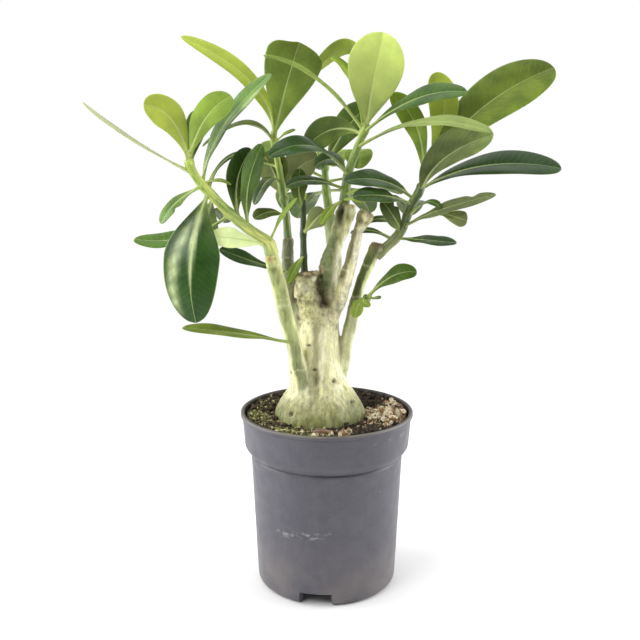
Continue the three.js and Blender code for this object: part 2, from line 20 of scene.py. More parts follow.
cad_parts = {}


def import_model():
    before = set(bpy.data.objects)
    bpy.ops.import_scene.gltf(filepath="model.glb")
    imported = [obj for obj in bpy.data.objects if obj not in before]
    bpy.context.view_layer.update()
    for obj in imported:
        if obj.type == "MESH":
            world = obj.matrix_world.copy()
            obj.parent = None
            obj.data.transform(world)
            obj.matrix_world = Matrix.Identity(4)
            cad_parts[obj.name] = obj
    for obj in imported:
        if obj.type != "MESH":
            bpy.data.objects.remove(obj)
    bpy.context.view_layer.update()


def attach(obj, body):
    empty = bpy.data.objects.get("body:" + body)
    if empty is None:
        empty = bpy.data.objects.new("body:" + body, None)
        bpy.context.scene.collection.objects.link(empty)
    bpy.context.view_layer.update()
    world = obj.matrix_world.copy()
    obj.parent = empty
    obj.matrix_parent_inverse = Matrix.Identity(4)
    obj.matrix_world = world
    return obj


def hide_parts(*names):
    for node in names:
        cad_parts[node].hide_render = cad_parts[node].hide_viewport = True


LOG = logging.getLogger("desert_rose")
MM = 0.001
BODY = "root"
Place = tuple[float, float, float]
Colour = tuple[float, float, float]
Colours = tuple[Colour, Colour]
Pair = tuple[float, float]
Swell = tuple[float, float, float]
Piece = bpy.types.Object
Socket = bpy.types.NodeSocket
Material = bpy.types.Material
Array = np.ndarray


class Tone(Enum):
    """Colours of a leaf, by age: upper face, under face, and how glossy the upper face is."""

    PALE = ((0.74, 0.82, 0.4), (0.66, 0.74, 0.34), 0.3)
    WAN = ((0.4, 0.44, 0.25), (0.56, 0.57, 0.39), 0.3)
    LIME = ((0.36, 0.46, 0.065), (0.4, 0.5, 0.11), 0.35)
    FRESH = ((0.215, 0.315, 0.038), (0.27, 0.37, 0.085), 0.45)
    GRASS = ((0.125, 0.175, 0.022), (0.18, 0.24, 0.055), 0.6)
    MID = ((0.06, 0.13, 0.016), (0.14, 0.2, 0.05), 0.75)
    DARK = ((0.02, 0.062, 0.008), (0.08, 0.125, 0.028), 1.0)
    OLIVE = ((0.062, 0.105, 0.016), (0.115, 0.15, 0.042), 0.6)
    SAGE = ((0.23, 0.3, 0.085), (0.25, 0.31, 0.1), 0.45)
    GREY = ((0.17, 0.2, 0.085), (0.2, 0.235, 0.1), 0.4)
    SHEEN = ((0.112, 0.2, 0.044), (0.17, 0.26, 0.08), 0.8)
    HERB = ((0.17, 0.265, 0.046), (0.22, 0.31, 0.08), 0.5)
    BRIGHT = ((0.44, 0.525, 0.14), (0.5, 0.6, 0.18), 0.3)


@dataclass(frozen=True)
class Bite:
    """A piece missing from a leaf's edge.

    Args:
        along: Where it lies, from 0 at the root to 1 at the tip.
        side: Which edge it is in, -1 or 1.
        depth: Share of the half width that is gone.
        spread: How far it reaches along the leaf, as a share of its length.
    """

    along: float
    side: int
    depth: float
    spread: float


@dataclass(frozen=True)
class Leaf:
    """One leaf: its rib passes through root, middle and tip.

    Args:
        root: Where it leaves the stem.
        middle: Where its rib is at half way.
        tip: Where its rib ends.
        width: Width of the blade at its widest.
        face: The way its upper face looks.
        tone: Its colours.
        widest: How far along the rib it is widest.
        wave: How far its edges rise and fall.
        bites: Pieces missing from its edges.
        cup: How far it is folded up along its rib; below 0 its edges hang.
        painted_side_light: Painted light and shade across the blade: how much lighter it is towards its
            left edge; below 0 towards its right one.
        fade: How much darker it is towards its tip; below 0 towards its root.
        shine: How strongly light glances off one margin and off its broad rib.
    """

    root: Place
    middle: Place
    tip: Place
    width: float
    face: Place
    tone: Tone
    widest: float = 0.66
    wave: float = 0.5
    bites: tuple[Bite, ...] = ()
    cup: float = 1.0
    painted_side_light: float = 0.0
    fade: float = 0.0
    shine: float = 0.0


@dataclass(frozen=True)
class Shoot:
    """A green stem with its whorl of leaves.

    Args:
        name: Name of the solid that the shoot stands for.
        slot: Material slot of that solid; not used.
        stem: Places that the stem passes through.
        radius: Stem radius at its foot and at its end.
        colours: Stem colour at its foot and at its end.
        leaves: Its leaves.
        flare: How much wider the stem's foot is, where it leaves the wood.
    """

    name: str
    slot: str
    stem: tuple[Place, ...]
    radius: Pair
    colours: Colours
    leaves: tuple[Leaf, ...]
    flare: float = 0.3


VEIN_SPACING = 4.6
VEIN_SLANT = 0.62
VEIN_CURVE = 0.018
VEIN_OFFSET = 0.42

NOISE_ROUGHNESS = 0.55

LIME_STEM = (0.37, 0.48, 0.09)
GREEN_STEM = (0.14, 0.21, 0.045)
DARK_STEM = (0.048, 0.08, 0.02)

SHOOTS = (
    Shoot(
        "shoot_left", "leaf_green",
        ((-35.5, -28.6, 235.5), (-36.5, -29, 241), (-38, -29.6, 244.5), (-44, -31, 249), (-51, -33, 254),
         (-61, -36, 263), (-70, -40, 273), (-78, -42, 282), (-84, -44, 292), (-85, -44, 298)),
        (3.6, 2.4),
        ((0.42, 0.48, 0.165), LIME_STEM),
        (
            Leaf((-84, -44, 289), (-116, -50, 309), (-146, -52, 331), 15, (0.56, -0.04, 0.83), Tone.WAN,
                 wave=0.1, cup=-1.1),
            Leaf((-85, -44, 295), (-94, -48, 320), (-110, -52, 329), 22, (0.6, -0.75, 0.3), Tone.LIME,
                 0.62, wave=0.3),
            Leaf((-85, -44, 296), (-75, -41, 320), (-59, -35, 335), 26, (-0.6, -0.75, 0.25), Tone.FRESH),
            Leaf((-84, -44, 293), (-82, -36, 311), (-81, -28, 327), 13, (0, -1, 0.1), Tone.MID),
            Leaf((-77, -42, 282), (-66, -32, 314), (-35, -22, 349), 23, (-0.75, -0.5, 0.45), Tone.SHEEN,
                 0.74, shine=0.5),
            Leaf((-74, -41, 279), (-63, -26, 297), (-42, -8, 301), 5, (0.1, -0.3, 0.95), Tone.MID),
            Leaf((-77, -44, 281), (-91, -54, 272), (-101, -58, 259), 11, (-0.3, -0.6, 0.7), Tone.SHEEN,
                 bites=(Bite(0.62, 1, 0.45, 0.05),)),
            Leaf((-61, -36, 263), (-92, -27, 247), (-126, -18, 245), 17, (-0.1, -0.5, 0.85), Tone.MID),
            Leaf((-74, -41, 276), (-83, -62, 238), (-81, -60, 198), 35, (-0.1, -0.97, 0.1), Tone.DARK,
                 0.49, wave=0.3, cup=-1.0, shine=0.9),
            Leaf((-40, -31, 243), (-56, -44, 248), (-72, -50, 250), 15, (0.1, -0.8, 0.6), Tone.PALE),
            Leaf((-50, -33, 254), (-50, -35, 280), (-41, -30, 306), 17, (0.8, -0.6, 0.1), Tone.MID),
            Leaf((-56, -34, 259), (-57, -31, 283), (-48, -25, 303), 17, (0.4, -0.9, 0.1), Tone.DARK),
            Leaf((-37, -29, 243), (-31, -37, 257), (-19, -33, 273), 10, (-0.5, -0.2, 0.85), Tone.FRESH),
            Leaf((-71, -40, 274), (-81, -10, 249), (-88, 14, 212), 22, (-0.2, 0.6, 0.75), Tone.MID),
            Leaf((-62, -37, 264), (-66, -26, 263), (-68, -10, 255), 15, (0.3, 0.3, 0.9), Tone.DARK),
            Leaf((-78, -42, 281), (-69, -38, 284), (-60, -36, 281), 4, (0, -0.5, 0.85), Tone.FRESH),
        ),
        flare=1.0,
    ),
    Shoot(
        "shoot_back_left", "leaf_lime",
        ((-26.8, 21.2, 238), (-27.3, 22.6, 244), (-28, 24, 254), (-30, 25, 270), (-32, 24, 285),
         (-35, 22, 301), (-36, 20, 311)),
        (2.7, 2),
        ((0.1, 0.16, 0.05), LIME_STEM),
        (
            Leaf((-36, 20, 309), (-50, 12, 345), (-95, 4, 374), 15, (-0.35, -0.55, 0.75), Tone.LIME, 0.72),
            Leaf((-36, 20, 309), (-28, 15, 341), (-18, 10, 371), 38, (0.1, -1, 0.1), Tone.HERB, 0.84,
                 wave=0.3, bites=(Bite(0.985, 1, 0.5, 0.02),), fade=1.0),
            Leaf((-36, 20, 307), (-54, 6, 319), (-82, -2, 304), 15, (-0.1, 0.15, 0.98), Tone.MID),
            Leaf((-35, 22, 302), (-34, 52, 306), (-46, 78, 292), 22, (0, 0.3, 0.95), Tone.FRESH),
            Leaf((-33, 24, 290), (-50, 38, 292), (-62, 56, 282), 17, (-0.2, 0.3, 0.9), Tone.MID),
            Leaf((-31, 25, 278), (-40, 17, 281), (-49, 10, 265), 13, (-0.3, -0.4, 0.85), Tone.DARK),
            Leaf((-30, 25, 268), (-36, 27, 285), (-44, 29, 299), 26, (0.3, 0.85, 0.4), Tone.OLIVE),
            Leaf((-30, 25, 268), (-22, 29, 287), (-6, 32, 296), 26, (-0.3, 0.85, 0.4), Tone.GREY),
            Leaf((-28, 24, 256), (-38, 12, 260), (-49, 4, 256), 15, (-0.1, -0.5, 0.85), Tone.OLIVE),
            Leaf((-30, 25, 268), (-28, 48, 270), (-30, 68, 256), 18, (0.1, 0.35, 0.9), Tone.MID),
            Leaf((-36, 21, 305), (-30, 13, 311), (-21, 9, 315), 6, (0, -0.5, 0.85), Tone.FRESH),
            Leaf((-35, 22, 302), (-20, 38, 308), (-8, 52, 300), 19, (0.2, 0.2, 0.95), Tone.MID),
        ),
    ),
    Shoot(
        "shoot_centre", "leaf_lime",
        ((11.6, 6, 261), (11.8, 6, 267), (12.5, 6, 276), (15, 5, 289), (20, 4, 303), (25, 2, 316),
         (26, 2, 320)),
        (3.2, 2.3),
        ((0.1, 0.17, 0.045), (0.3, 0.4, 0.09)),
        (
            Leaf((26, 2, 316), (29, -6, 342), (35, -12, 375), 36, (-0.1, -1, 0.15), Tone.BRIGHT, 0.72,
                 wave=0.3, painted_side_light=-0.1, fade=-0.9),
            Leaf((24, 4, 314), (17, 8, 346), (2, 8, 361), 19, (0.55, -0.35, 0.75), Tone.FRESH),
            Leaf((26, 3, 316), (20, 18, 366), (-10, 22, 352), 17, (0.2, 0.45, 0.85), Tone.LIME),
            Leaf((24, 2, 314), (-6, -6, 346), (-41, -8, 361), 15, (0.45, 0.1, 0.85), Tone.FRESH),
            Leaf((25, 0, 314), (57, -10, 334), (89, -14, 338), 20, (-0.3, -0.55, 0.78), Tone.MID),
            Leaf((21, 2, 304), (58, -31, 319), (97, -58, 313), 18, (-0.1, -0.35, 0.93), Tone.SAGE),
            Leaf((14, 5, 285), (-9, -17, 304), (-37, -26, 298), 24, (0, -0.45, 0.88), Tone.DARK),
            Leaf((12, 5, 276), (-10, -4, 282), (-27, -8, 278), 12, (0.1, -0.5, 0.85), Tone.DARK),
            Leaf((14, 5, 284), (4, 10, 295), (-8, 14, 290), 17, (0.2, -0.6, 0.75), Tone.DARK),
            Leaf((23, 3, 312), (4, 14, 315), (-14, 17, 303), 23, (-0.3, -0.8, 0.45), Tone.OLIVE),
            Leaf((11, 6, 272), (20, -2, 275), (27, -8, 273), 9, (0, -0.5, 0.85), Tone.FRESH),
            Leaf((10, 5, 268), (3, -6, 264), (-4, -12, 254), 8, (-0.4, -0.7, 0.5), Tone.FRESH),
            Leaf((11, 5, 269), (19, -3, 270), (25, -5, 268), 7, (0.3, -0.6, 0.7), Tone.LIME),
            Leaf((13, 5, 280), (34, 28, 279), (54, 48, 270), 20, (0, 0.3, 0.95), Tone.MID),
            Leaf((18, 4, 298), (22, 34, 300), (22, 44, 288), 20, (0, 0.35, 0.93), Tone.FRESH),
        ),
    ),
    Shoot(
        "shoot_right", "leaf_green",
        ((32.6, 0, 231), (36.2, 0, 234), (39, 0, 237), (43, 0, 240.5), (47, -1, 245), (51, -4, 253),
         (55, -8, 266), (60, -10, 275), (62, -9, 281)),
        (3.4, 2.3),
        ((0.2, 0.23, 0.095), (0.07, 0.12, 0.03)),
        (
            Leaf((60, -10, 274), (74, -21, 297), (104, -28, 312), 41, (-0.45, 0.6, 0.66), Tone.OLIVE,
                 0.7, wave=0.3, painted_side_light=0.25, fade=-1.6),
            Leaf((61, -9, 278), (96, 0, 324), (150, 12, 355), 37, (-0.4, -0.8, 0.45), Tone.GRASS, 0.72,
                 wave=0.4, painted_side_light=-0.22),
            Leaf((60, -9, 276), (106, 12, 291), (160, 18, 289), 26, (-0.05, -0.6, 0.8), Tone.DARK, 0.75),
            Leaf((62, -9, 280), (77, 5, 322), (69, 9, 351), 20, (-0.3, -0.9, 0.1), Tone.LIME),
            Leaf((62, -9, 281), (60, 5, 315), (42, 10, 338), 16, (-0.6, -0.7, 0.3), Tone.FRESH),
            Leaf((51, -4, 252), (72, -24, 264), (106, -34, 275), 14, (-0.1, -0.5, 0.85), Tone.GREY,
                 bites=(Bite(0.82, 1, 0.4, 0.04),)),
            Leaf((70, -23, 263), (82, -28, 260), (89, -29, 258), 11, (0, -0.9, 0.4), Tone.GREY),
            Leaf((47, -1, 244), (64, -16, 244), (84, -22, 243), 15, (0, -0.35, 0.93), Tone.DARK),
            Leaf((49, -2, 248), (44, -12, 258), (35, -15, 270), 15, (0.5, -0.8, 0.3), Tone.OLIVE,
                 bites=(Bite(0.72, -1, 0.3, 0.06),)),
            Leaf((57, -9, 270), (36, -12, 282), (11, -16, 282), 21, (-0.1, -0.5, 0.86), Tone.DARK),
            Leaf((56, -8, 267), (37, -22, 273), (16, -26, 273), 16, (0.1, -0.55, 0.82), Tone.DARK,
                 bites=(Bite(0.35, -1, 0.5, 0.05),)),
            Leaf((54, -7, 260), (64, -20, 269), (72, -26, 266), 9, (0.2, -0.5, 0.85), Tone.MID),
            Leaf((45, 0, 242), (30, 6, 248), (16, 9, 246), 6, (0, -0.6, 0.8), Tone.DARK),
            Leaf((50, -3, 250), (39, 2, 256), (28, 5, 254), 7, (0, -0.6, 0.8), Tone.DARK),
            Leaf((59, -9, 273), (74, 22, 293), (90, 50, 292), 22, (0, 0.3, 0.95), Tone.MID),
            Leaf((53, -5, 259), (58, 24, 266), (60, 50, 254), 20, (0, 0.35, 0.93), Tone.DARK),
        ),
    ),
    Shoot(
        "shoot_small", "leaf_olive",
        ((-15, -1.5, 217), (-15.5, 2, 225), (-16, 6, 242), (-16, 8, 255), (-16, 9, 270)),
        (2.3, 2),
        (DARK_STEM, DARK_STEM),
        (
            Leaf((-16, 9, 262), (-19, 3, 275), (-18, 1, 290), 13, (0.4, -0.9, 0.1), Tone.OLIVE),
            Leaf((-16, 6.5, 246), (-8, -1, 256), (-1, -4, 262), 14, (0.4, -0.75, 0.5), Tone.GREY),
            Leaf((-15.8, 3.5, 231), (-20, -4, 226), (-26, -9, 214), 8, (-0.5, -0.8, 0.3), Tone.FRESH),
            Leaf((-16, 9, 264), (-14, 22, 272), (-16, 36, 264), 14, (0, 0.3, 0.95), Tone.DARK),
        ),
    ),
    Shoot(
        "sprout_right", "leaf_dark",
        ((21, -1, 200), (25, -4.5, 202), (28, -7, 205)),
        (1.9, 1.5),
        (GREEN_STEM, GREEN_STEM),
        (
            Leaf((27, -6, 204), (43, -16, 220), (59, -18, 223), 15, (-0.35, -0.6, 0.7), Tone.MID),
            Leaf((27, -6, 204), (24, -11, 203), (29, -14, 200), 6, (0.1, -0.95, 0.2), Tone.FRESH,
                 wave=0.8, bites=(Bite(0.6, 1, 0.5, 0.1),)),
            Leaf((27, -6, 204), (21, -11, 200), (19, -14, 192), 9, (0.1, -0.95, 0.3), Tone.FRESH,
                 wave=0.8, bites=(Bite(0.7, -1, 0.4, 0.1),)),
            Leaf((27, -6, 204), (32, -12, 205), (36, -15, 206), 4, (0.2, -0.6, 0.75), Tone.DARK),
        ),
    ),
    Shoot(
        "shoot_back", "leaf_dark",
        ((2.4, 47.6, 253), (1.8, 48.8, 259), (0, 52, 270), (-1, 54, 284), (-1, 54, 292)),
        (3.4, 2.2),
        (GREEN_STEM, (0.22, 0.32, 0.07)),
        (
            Leaf((-1, 54, 289), (13, 58, 314), (31, 62, 333), 25, (-0.4, -0.85, 0.3), Tone.OLIVE),
            Leaf((-1, 54, 290), (-18, 68, 303), (-36, 86, 300), 22, (0, 0.2, 0.98), Tone.FRESH),
            Leaf((-1, 54, 288), (4, 84, 299), (6, 112, 287), 25, (0, 0.3, 0.95), Tone.FRESH),
            Leaf((0, 53, 278), (28, 66, 280), (54, 76, 268), 22, (0, 0.1, 0.98), Tone.MID),
            Leaf((0, 53, 280), (-26, 76, 286), (-50, 92, 270), 22, (0, 0.1, 0.98), Tone.MID),
            Leaf((0, 52, 272), (22, 78, 268), (34, 98, 252), 20, (0, 0.4, 0.92), Tone.DARK),
            Leaf((0, 52, 272), (-14, 78, 264), (-22, 98, 248), 20, (0, 0.4, 0.92), Tone.DARK),
        ),
    ),
)

LOOSE_LEAVES = {
    "leaf_low_left": (
        "leaf_green",
        Leaf((-24, -18, 176), (-56, -42, 187), (-92, -46, 192), 18, (0, -0.2, 0.97), Tone.GRASS),
    ),
    "leaf_behind_left": (
        "leaf_dark",
        Leaf((-25, 14, 218), (-48, -6, 228), (-71, -14, 238), 16, (-0.1, -0.5, 0.85), Tone.DARK),
    ),
}


def deselect() -> None:
    """Leaves nothing selected."""
    for piece in bpy.context.selected_objects:
        piece.select_set(False)


def choose(*pieces: Piece) -> None:
    """Selects only these pieces and makes the first one active."""
    deselect()
    for piece in pieces:
        piece.select_set(True)
    bpy.context.view_layer.objects.active = pieces[0]


def places_of(piece: Piece) -> Array:
    """The places of a piece's vertices, one row each."""
    places = np.zeros(len(piece.data.vertices) * 3)
    piece.data.vertices.foreach_get("co", places)
    return places.reshape(-1, 3)


def put_places(piece: Piece, places: Array) -> None:
    """Moves a piece's vertices to these places."""
    piece.data.vertices.foreach_set("co", places.astype(np.float32).ravel())
    piece.data.update()


def normals_of(piece: Piece) -> Array:
    """The outward normals of a piece's vertices, one row each."""
    normals = np.zeros(len(piece.data.vertices) * 3, np.float32)
    piece.data.vertex_normals.foreach_get("vector", normals)
    return normals.reshape(-1, 3).astype(float)


def put_attribute(piece: Piece, name: str, values: Array) -> None:
    """Stores three numbers for each vertex under a name that a finish reads."""
    held = piece.data.attributes.get(name) or piece.data.attributes.new(name, "FLOAT_VECTOR", "POINT")
    held.data.foreach_set("vector", values.astype(np.float32).ravel())


def apply_modifier(piece: Piece, kind: str, **settings: object) -> None:
    """Adds a modifier with these settings and applies it."""
    choose(piece)
    modifier = piece.modifiers.new(kind.lower(), kind)
    for name, value in settings.items():
        setattr(modifier, name, value)
    bpy.ops.object.modifier_apply(modifier=modifier.name)


def added(name: str, add: Callable[..., object], **settings: object) -> Piece:
    """Adds a primitive of this name with these settings, and selects nothing else."""
    deselect()
    add(**settings)
    piece = bpy.context.view_layer.objects.active
    piece.name = piece.data.name = name
    return piece


def copied(name: str, original: Piece) -> Piece:
    """A copy of a piece, with its own mesh."""
    piece = bpy.data.objects.new(name, original.data.copy())
    bpy.context.scene.collection.objects.link(piece)
    return piece


def joined(name: str, pieces: list[Piece]) -> Piece:
    """Joins pieces into one of this name."""
    choose(*pieces)
    if len(pieces) > 1:
        bpy.ops.object.join()
    whole = bpy.context.view_layer.objects.active
    whole.name = whole.data.name = name
    return whole


def smooth_step(low: float, high: float, value: Array) -> Array:
    """Rises from 0 at low to 1 at high."""
    share = np.clip((value - low) / (high - low), 0, 1)
    return share * share * (3 - 2 * share)


def blended(first: Array | Colour, second: Array | Colour, share: Array) -> Array:
    """Rows of colour that go from the first to the second by a share for each row."""
    share = np.asarray(share).reshape(-1, 1)
    return np.asarray(first) * (1 - share) + np.asarray(second) * share


def rough(places: Array, size: float, seed: float, octaves: int = 3) -> Array:
    """Smooth noise, about -1 to 1, whose bumps have this size in the unit of the places."""
    shift = Vector((seed, 1.7 * seed, -2.3 * seed))
    return np.array([noise.fractal(Vector(p) / size + shift, 1.0, 2.0, octaves) for p in places])


def hand_over(piece: Piece, finish: Material, node: str) -> None:
    """Dresses a finished piece and gives it to the plant's body in place of a solid.

    Args:
        piece: The finished piece.
        finish: What its surface is made of.
        node: The solid that it stands for.
    """
    piece.data.materials.clear()
    piece.data.materials.append(finish)
    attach(piece, BODY)
    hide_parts(node)
    LOG.info("%s: %d faces", piece.name, len(piece.data.polygons))


@dataclass
class Nodes:
    """A tree of nodes, with short calls for those that are used here."""

    tree: bpy.types.NodeTree

    def node(self, kind: str, **settings: object) -> bpy.types.Node:
        """Adds a node of this kind with these settings."""
        made = self.tree.nodes.new(kind)
        for name, value in settings.items():
            setattr(made, name, value)
        return made

    def put(self, socket: Socket, value: object) -> None:
        """Links a socket into another one, or sets its value."""
        if isinstance(value, Socket):
            self.tree.links.new(value, socket)
        elif hasattr(socket.default_value, "__len__") and len(socket.default_value) == 4:
            socket.default_value = (*value, 1.0)
        else:
            socket.default_value = value

    def math(self, operation: str, first: object, second: object = 0.0) -> Socket:
        """One sum of two numbers."""
        made = self.node("ShaderNodeMath", operation=operation)
        self.put(made.inputs[0], first)
        self.put(made.inputs[1], second)
        return made.outputs[0]

    def times(self, first: object, *others: object) -> Socket:
        """Numbers multiplied."""
        return functools.reduce(functools.partial(self.math, "MULTIPLY"), others, first)

    def plus(self, first: object, second: object) -> Socket:
        """Two numbers added."""
        return self.math("ADD", first, second)

    def minus(self, first: object, second: object) -> Socket:
        """The second number taken from the first."""
        return self.math("SUBTRACT", first, second)

    def apart(self, first: object, second: object) -> Socket:
        """How far two numbers are apart."""
        return self.math("ABSOLUTE", self.minus(first, second))

    def mix(self, share: object, first: object, second: object, blend: str = "MIX") -> Socket:
        """Two colours mixed by a share."""
        made = self.node("ShaderNodeMix", data_type="RGBA", blend_type=blend, clamp_factor=True)
        self.put(made.inputs[0], share)
        self.put(made.inputs[6], first)
        self.put(made.inputs[7], second)
        return made.outputs[2]

    def step(
        self, value: object, low: float, high: float, start: float = 0.0, end: float = 1.0
    ) -> Socket:
        """Goes smoothly from start at low to end at high."""
        made = self.node("ShaderNodeMapRange", interpolation_type="SMOOTHSTEP")
        for socket, number in zip(made.inputs[:5], (value, low, high, start, end)):
            self.put(socket, number)
        return made.outputs[0]

    def parts(self, vector: Socket) -> tuple[Socket, ...]:
        """The three numbers of a vector."""
        made = self.node("ShaderNodeSeparateXYZ")
        self.put(made.inputs[0], vector)
        return tuple(made.outputs)


class Finish(Nodes):
    """A material, with patterns on its object's coordinates or on what its vertices store."""

    def __init__(self, name: str) -> None:
        """Makes an empty material of this name."""
        self.material = bpy.data.materials.new(name)
        self.material.use_nodes = True
        super().__init__(self.material.node_tree)
        self.tree.nodes.clear()
        self.places = self.node("ShaderNodeTexCoord").outputs["Object"]

    def stretched(self, stretch: Place, places: object = None) -> Socket:
        """Places multiplied along each axis, for a pattern that is drawn out."""
        made = self.node("ShaderNodeMapping")
        self.put(made.inputs["Vector"], places or self.places)
        made.inputs["Scale"].default_value = stretch
        return made.outputs[0]

    def noise(self, scale: float, detail: float = 3.0, places: object = None) -> Socket:
        """Cloudy noise from 0 to 1, with this many clouds to the unit."""
        made = self.node("ShaderNodeTexNoise")
        self.put(made.inputs["Vector"], places or self.places)
        made.inputs["Scale"].default_value = scale
        made.inputs["Detail"].default_value = detail
        made.inputs["Roughness"].default_value = NOISE_ROUGHNESS
        return made.outputs["Fac"]

    def cells(self, scale: float, feature: str = "F1", places: object = None) -> Socket:
        """Distance to the nearest of scattered points, or to the edges between their cells."""
        made = self.node("ShaderNodeTexVoronoi", feature=feature)
        self.put(made.inputs["Vector"], places or self.places)
        made.inputs["Scale"].default_value = scale
        return made.outputs["Distance"]

    def stored(self, name: str) -> Socket:
        """What each vertex holds under this name."""
        return self.node("ShaderNodeAttribute", attribute_name=name).outputs["Vector"]

    def bump(self, height: object, distance: float, strength: float = 1.0) -> Socket:
        """Low relief from a height."""
        made = self.node("ShaderNodeBump")
        made.inputs["Strength"].default_value = strength
        made.inputs["Distance"].default_value = distance
        self.put(made.inputs["Height"], height)
        return made.outputs[0]

    def surface(self, **sockets: object) -> Material:
        """Ends the nodes in a surface whose sockets take these values."""
        made = self.node("ShaderNodeBsdfPrincipled")
        for name, value in sockets.items():
            self.put(made.inputs[name.replace("_", " ")], value)
        out = self.node("ShaderNodeOutputMaterial")
        self.put(out.inputs["Surface"], made.outputs[0])
        return self.material


@dataclass(frozen=True)
class GreyPlastic:
    """Thin recycled plastic of a nursery pot, with fine mottling, scuffs and a little dust."""

    grey: Colour = (0.066, 0.063, 0.080)
    light: Colour = (0.112, 0.106, 0.124)
    earthy: Colour = (0.150, 0.132, 0.126)
    lip: Colour = (0.175, 0.155, 0.115)
    peat_dirt_and_shade: Colour = (0.020, 0.015, 0.010)
    painted_crease_shade: Colour = (0.028, 0.026, 0.030)
    scuff: Colour = (0.50, 0.49, 0.50)
    lip_top: float = 0.1235
    lip_radius: float = 0.0592
    inner_radius: float = 0.0576
    crease_height: float = 0.0946
    scuff_height: float = 0.0525
    scuff_slope: float = 0.09
    scuff_reach: float = 0.0038
    collar_scuff_height: float = 0.1155
    collar_scuff_reach: float = 0.0018

    def build(self) -> Material:
        """Makes the material."""
        f = Finish("grey_plastic")
        side, across, height = f.parts(f.places)
        mottle = f.step(f.noise(95, 5), 0.38, 0.66)
        flow = f.step(f.noise(55, 3, f.stretched((1, 1, 0.12))), 0.35, 0.7)
        colour = f.mix(f.times(mottle, 0.30), self.grey, self.light)
        colour = f.mix(f.times(flow, 0.22), colour, self.light)
        earth = f.times(f.step(height, 0.050, 0.004), f.step(f.noise(40, 4), 0.30, 0.65), 0.75)
        colour = f.mix(earth, colour, self.earthy)
        speck = f.step(f.noise(1500, 2), 0.56, 0.72)
        colour = f.mix(f.times(speck, 0.07), colour, self.scuff)
        colour = f.mix(self.scratches(f, side, across, height), colour, self.scuff)
        dust = f.times(f.step(f.cells(170), 0.085, 0.045), f.step(f.noise(60, 1), 0.60, 0.68), 0.30)
        colour = f.mix(dust, colour, self.scuff)
        # Painted shade: a dark line in the groove where the body meets the collar's shoulder.
        crease = f.step(f.apart(height, self.crease_height), 0.0013, 0.0003)
        colour = f.mix(f.times(crease, 0.62), colour, self.painted_crease_shade)
        worn = f.step(f.noise(70, 3), 0.25, 0.75, 0.35, 0.85)
        lip = f.times(f.step(height, self.lip_top - 0.0009, self.lip_top), worn)
        colour = f.mix(lip, colour, self.lip)
        # Dark peat dirt and painted shade: the wall's inner face and the lip's top inside its outer edge go
        # dark.
        colour = f.mix(f.times(self.inside(f, side, across, height), 0.9), colour, self.peat_dirt_and_shade)
        grain = f.plus(f.noise(700, 3), f.times(f.noise(90, 2), 1.5))
        return f.surface(
            Base_Color=colour,
            Roughness=f.step(f.noise(120, 4), 0.2, 0.8, 0.36, 0.52),
            Normal=f.bump(grain, 0.00018, 0.5),
        )

    def inside(self, f: Finish, side: Socket, across: Socket, height: Socket) -> Socket:
        """Share of dark peat dirt and painted shade: on the wall's inner face, and on the lip's top within
        its outer edge.
        """
        middle = f.math("SQRT", f.plus(f.times(side, side), f.times(across, across)))
        wall = f.step(middle, self.inner_radius, self.inner_radius - 0.0006)
        wall = f.times(wall, f.step(height, 0.108, 0.114))
        top = f.step(middle, self.lip_radius, self.lip_radius - 0.0008)
        top = f.times(top, f.step(height, self.lip_top - 0.0006, self.lip_top))
        return f.math("MAXIMUM", wall, top)

    def scratches(self, f: Finish, side: Socket, across: Socket, height: Socket) -> Socket:
        """Share of pale scuff: a short row of rubs round the left front, and a faint one up high."""
        front = f.step(across, -0.02, -0.03)
        line = f.plus(f.times(side, self.scuff_slope), self.scuff_height)
        row = f.step(f.apart(height, line), self.scuff_reach, 0.0)
        row = f.times(row, f.step(side, -0.042, -0.034), f.step(side, 0.010, 0.002), front)
        collar = f.step(f.apart(height, self.collar_scuff_height), self.collar_scuff_reach, 0.0)
        collar = f.times(collar, f.step(side, 0.026, 0.034), front, 0.6)
        broken = f.step(f.noise(190, 4, f.stretched((1, 1, 1.8))), 0.50, 0.71)
        return f.times(f.plus(row, collar), broken, 0.48)


@dataclass(frozen=True)
class Peat:
    """Dark crumbly peat, whose cover of moss and tan grit is stored in its vertices."""

    dark: Colour = (0.009, 0.006, 0.004)
    brown: Colour = (0.048, 0.030, 0.016)
    moss: Colour = (0.20, 0.19, 0.055)
    tan: Colour = (0.34, 0.23, 0.13)

    def build(self) -> Material:
        """Makes the material."""
        f = Finish("peat")
        moss, tan, _ = f.parts(f.stored("cover"))
        clump = f.step(f.noise(260, 4), 0.40, 0.68)
        colour = f.mix(clump, self.dark, self.brown)
        colour = f.mix(f.step(f.noise(900, 3), 0.58, 0.72), colour, self.tan)
        green = f.times(moss, f.step(f.noise(420, 4), 0.44, 0.60))
        colour = f.mix(green, colour, self.moss)
        grit = f.times(tan, f.step(f.noise(330, 3), 0.40, 0.60))
        colour = f.mix(grit, colour, self.tan)
        grain = f.plus(f.noise(1400, 4), f.noise(450, 3))
        return f.surface(Base_Color=colour, Roughness=0.92, Normal=f.bump(grain, 0.0006))


@dataclass(frozen=True)
class Crumb:
    """Loose crumbs, grit or moss, mottled from one colour to another."""

    name: str
    first: Colour
    second: Colour
    roughness: float = 0.9

    def build(self) -> Material:
        """Makes the material."""
        f = Finish(self.name)
        patch = f.step(f.noise(320, 2), 0.40, 0.60)
        fine = f.step(f.noise(1800, 3), 0.35, 0.70)
        colour = f.mix(patch, self.first, self.second)
        colour = f.mix(f.times(fine, 0.45), colour, self.first)
        return f.surface(
            Base_Color=colour, Roughness=self.roughness, Normal=f.bump(f.noise(2200, 3), 0.0003)
        )


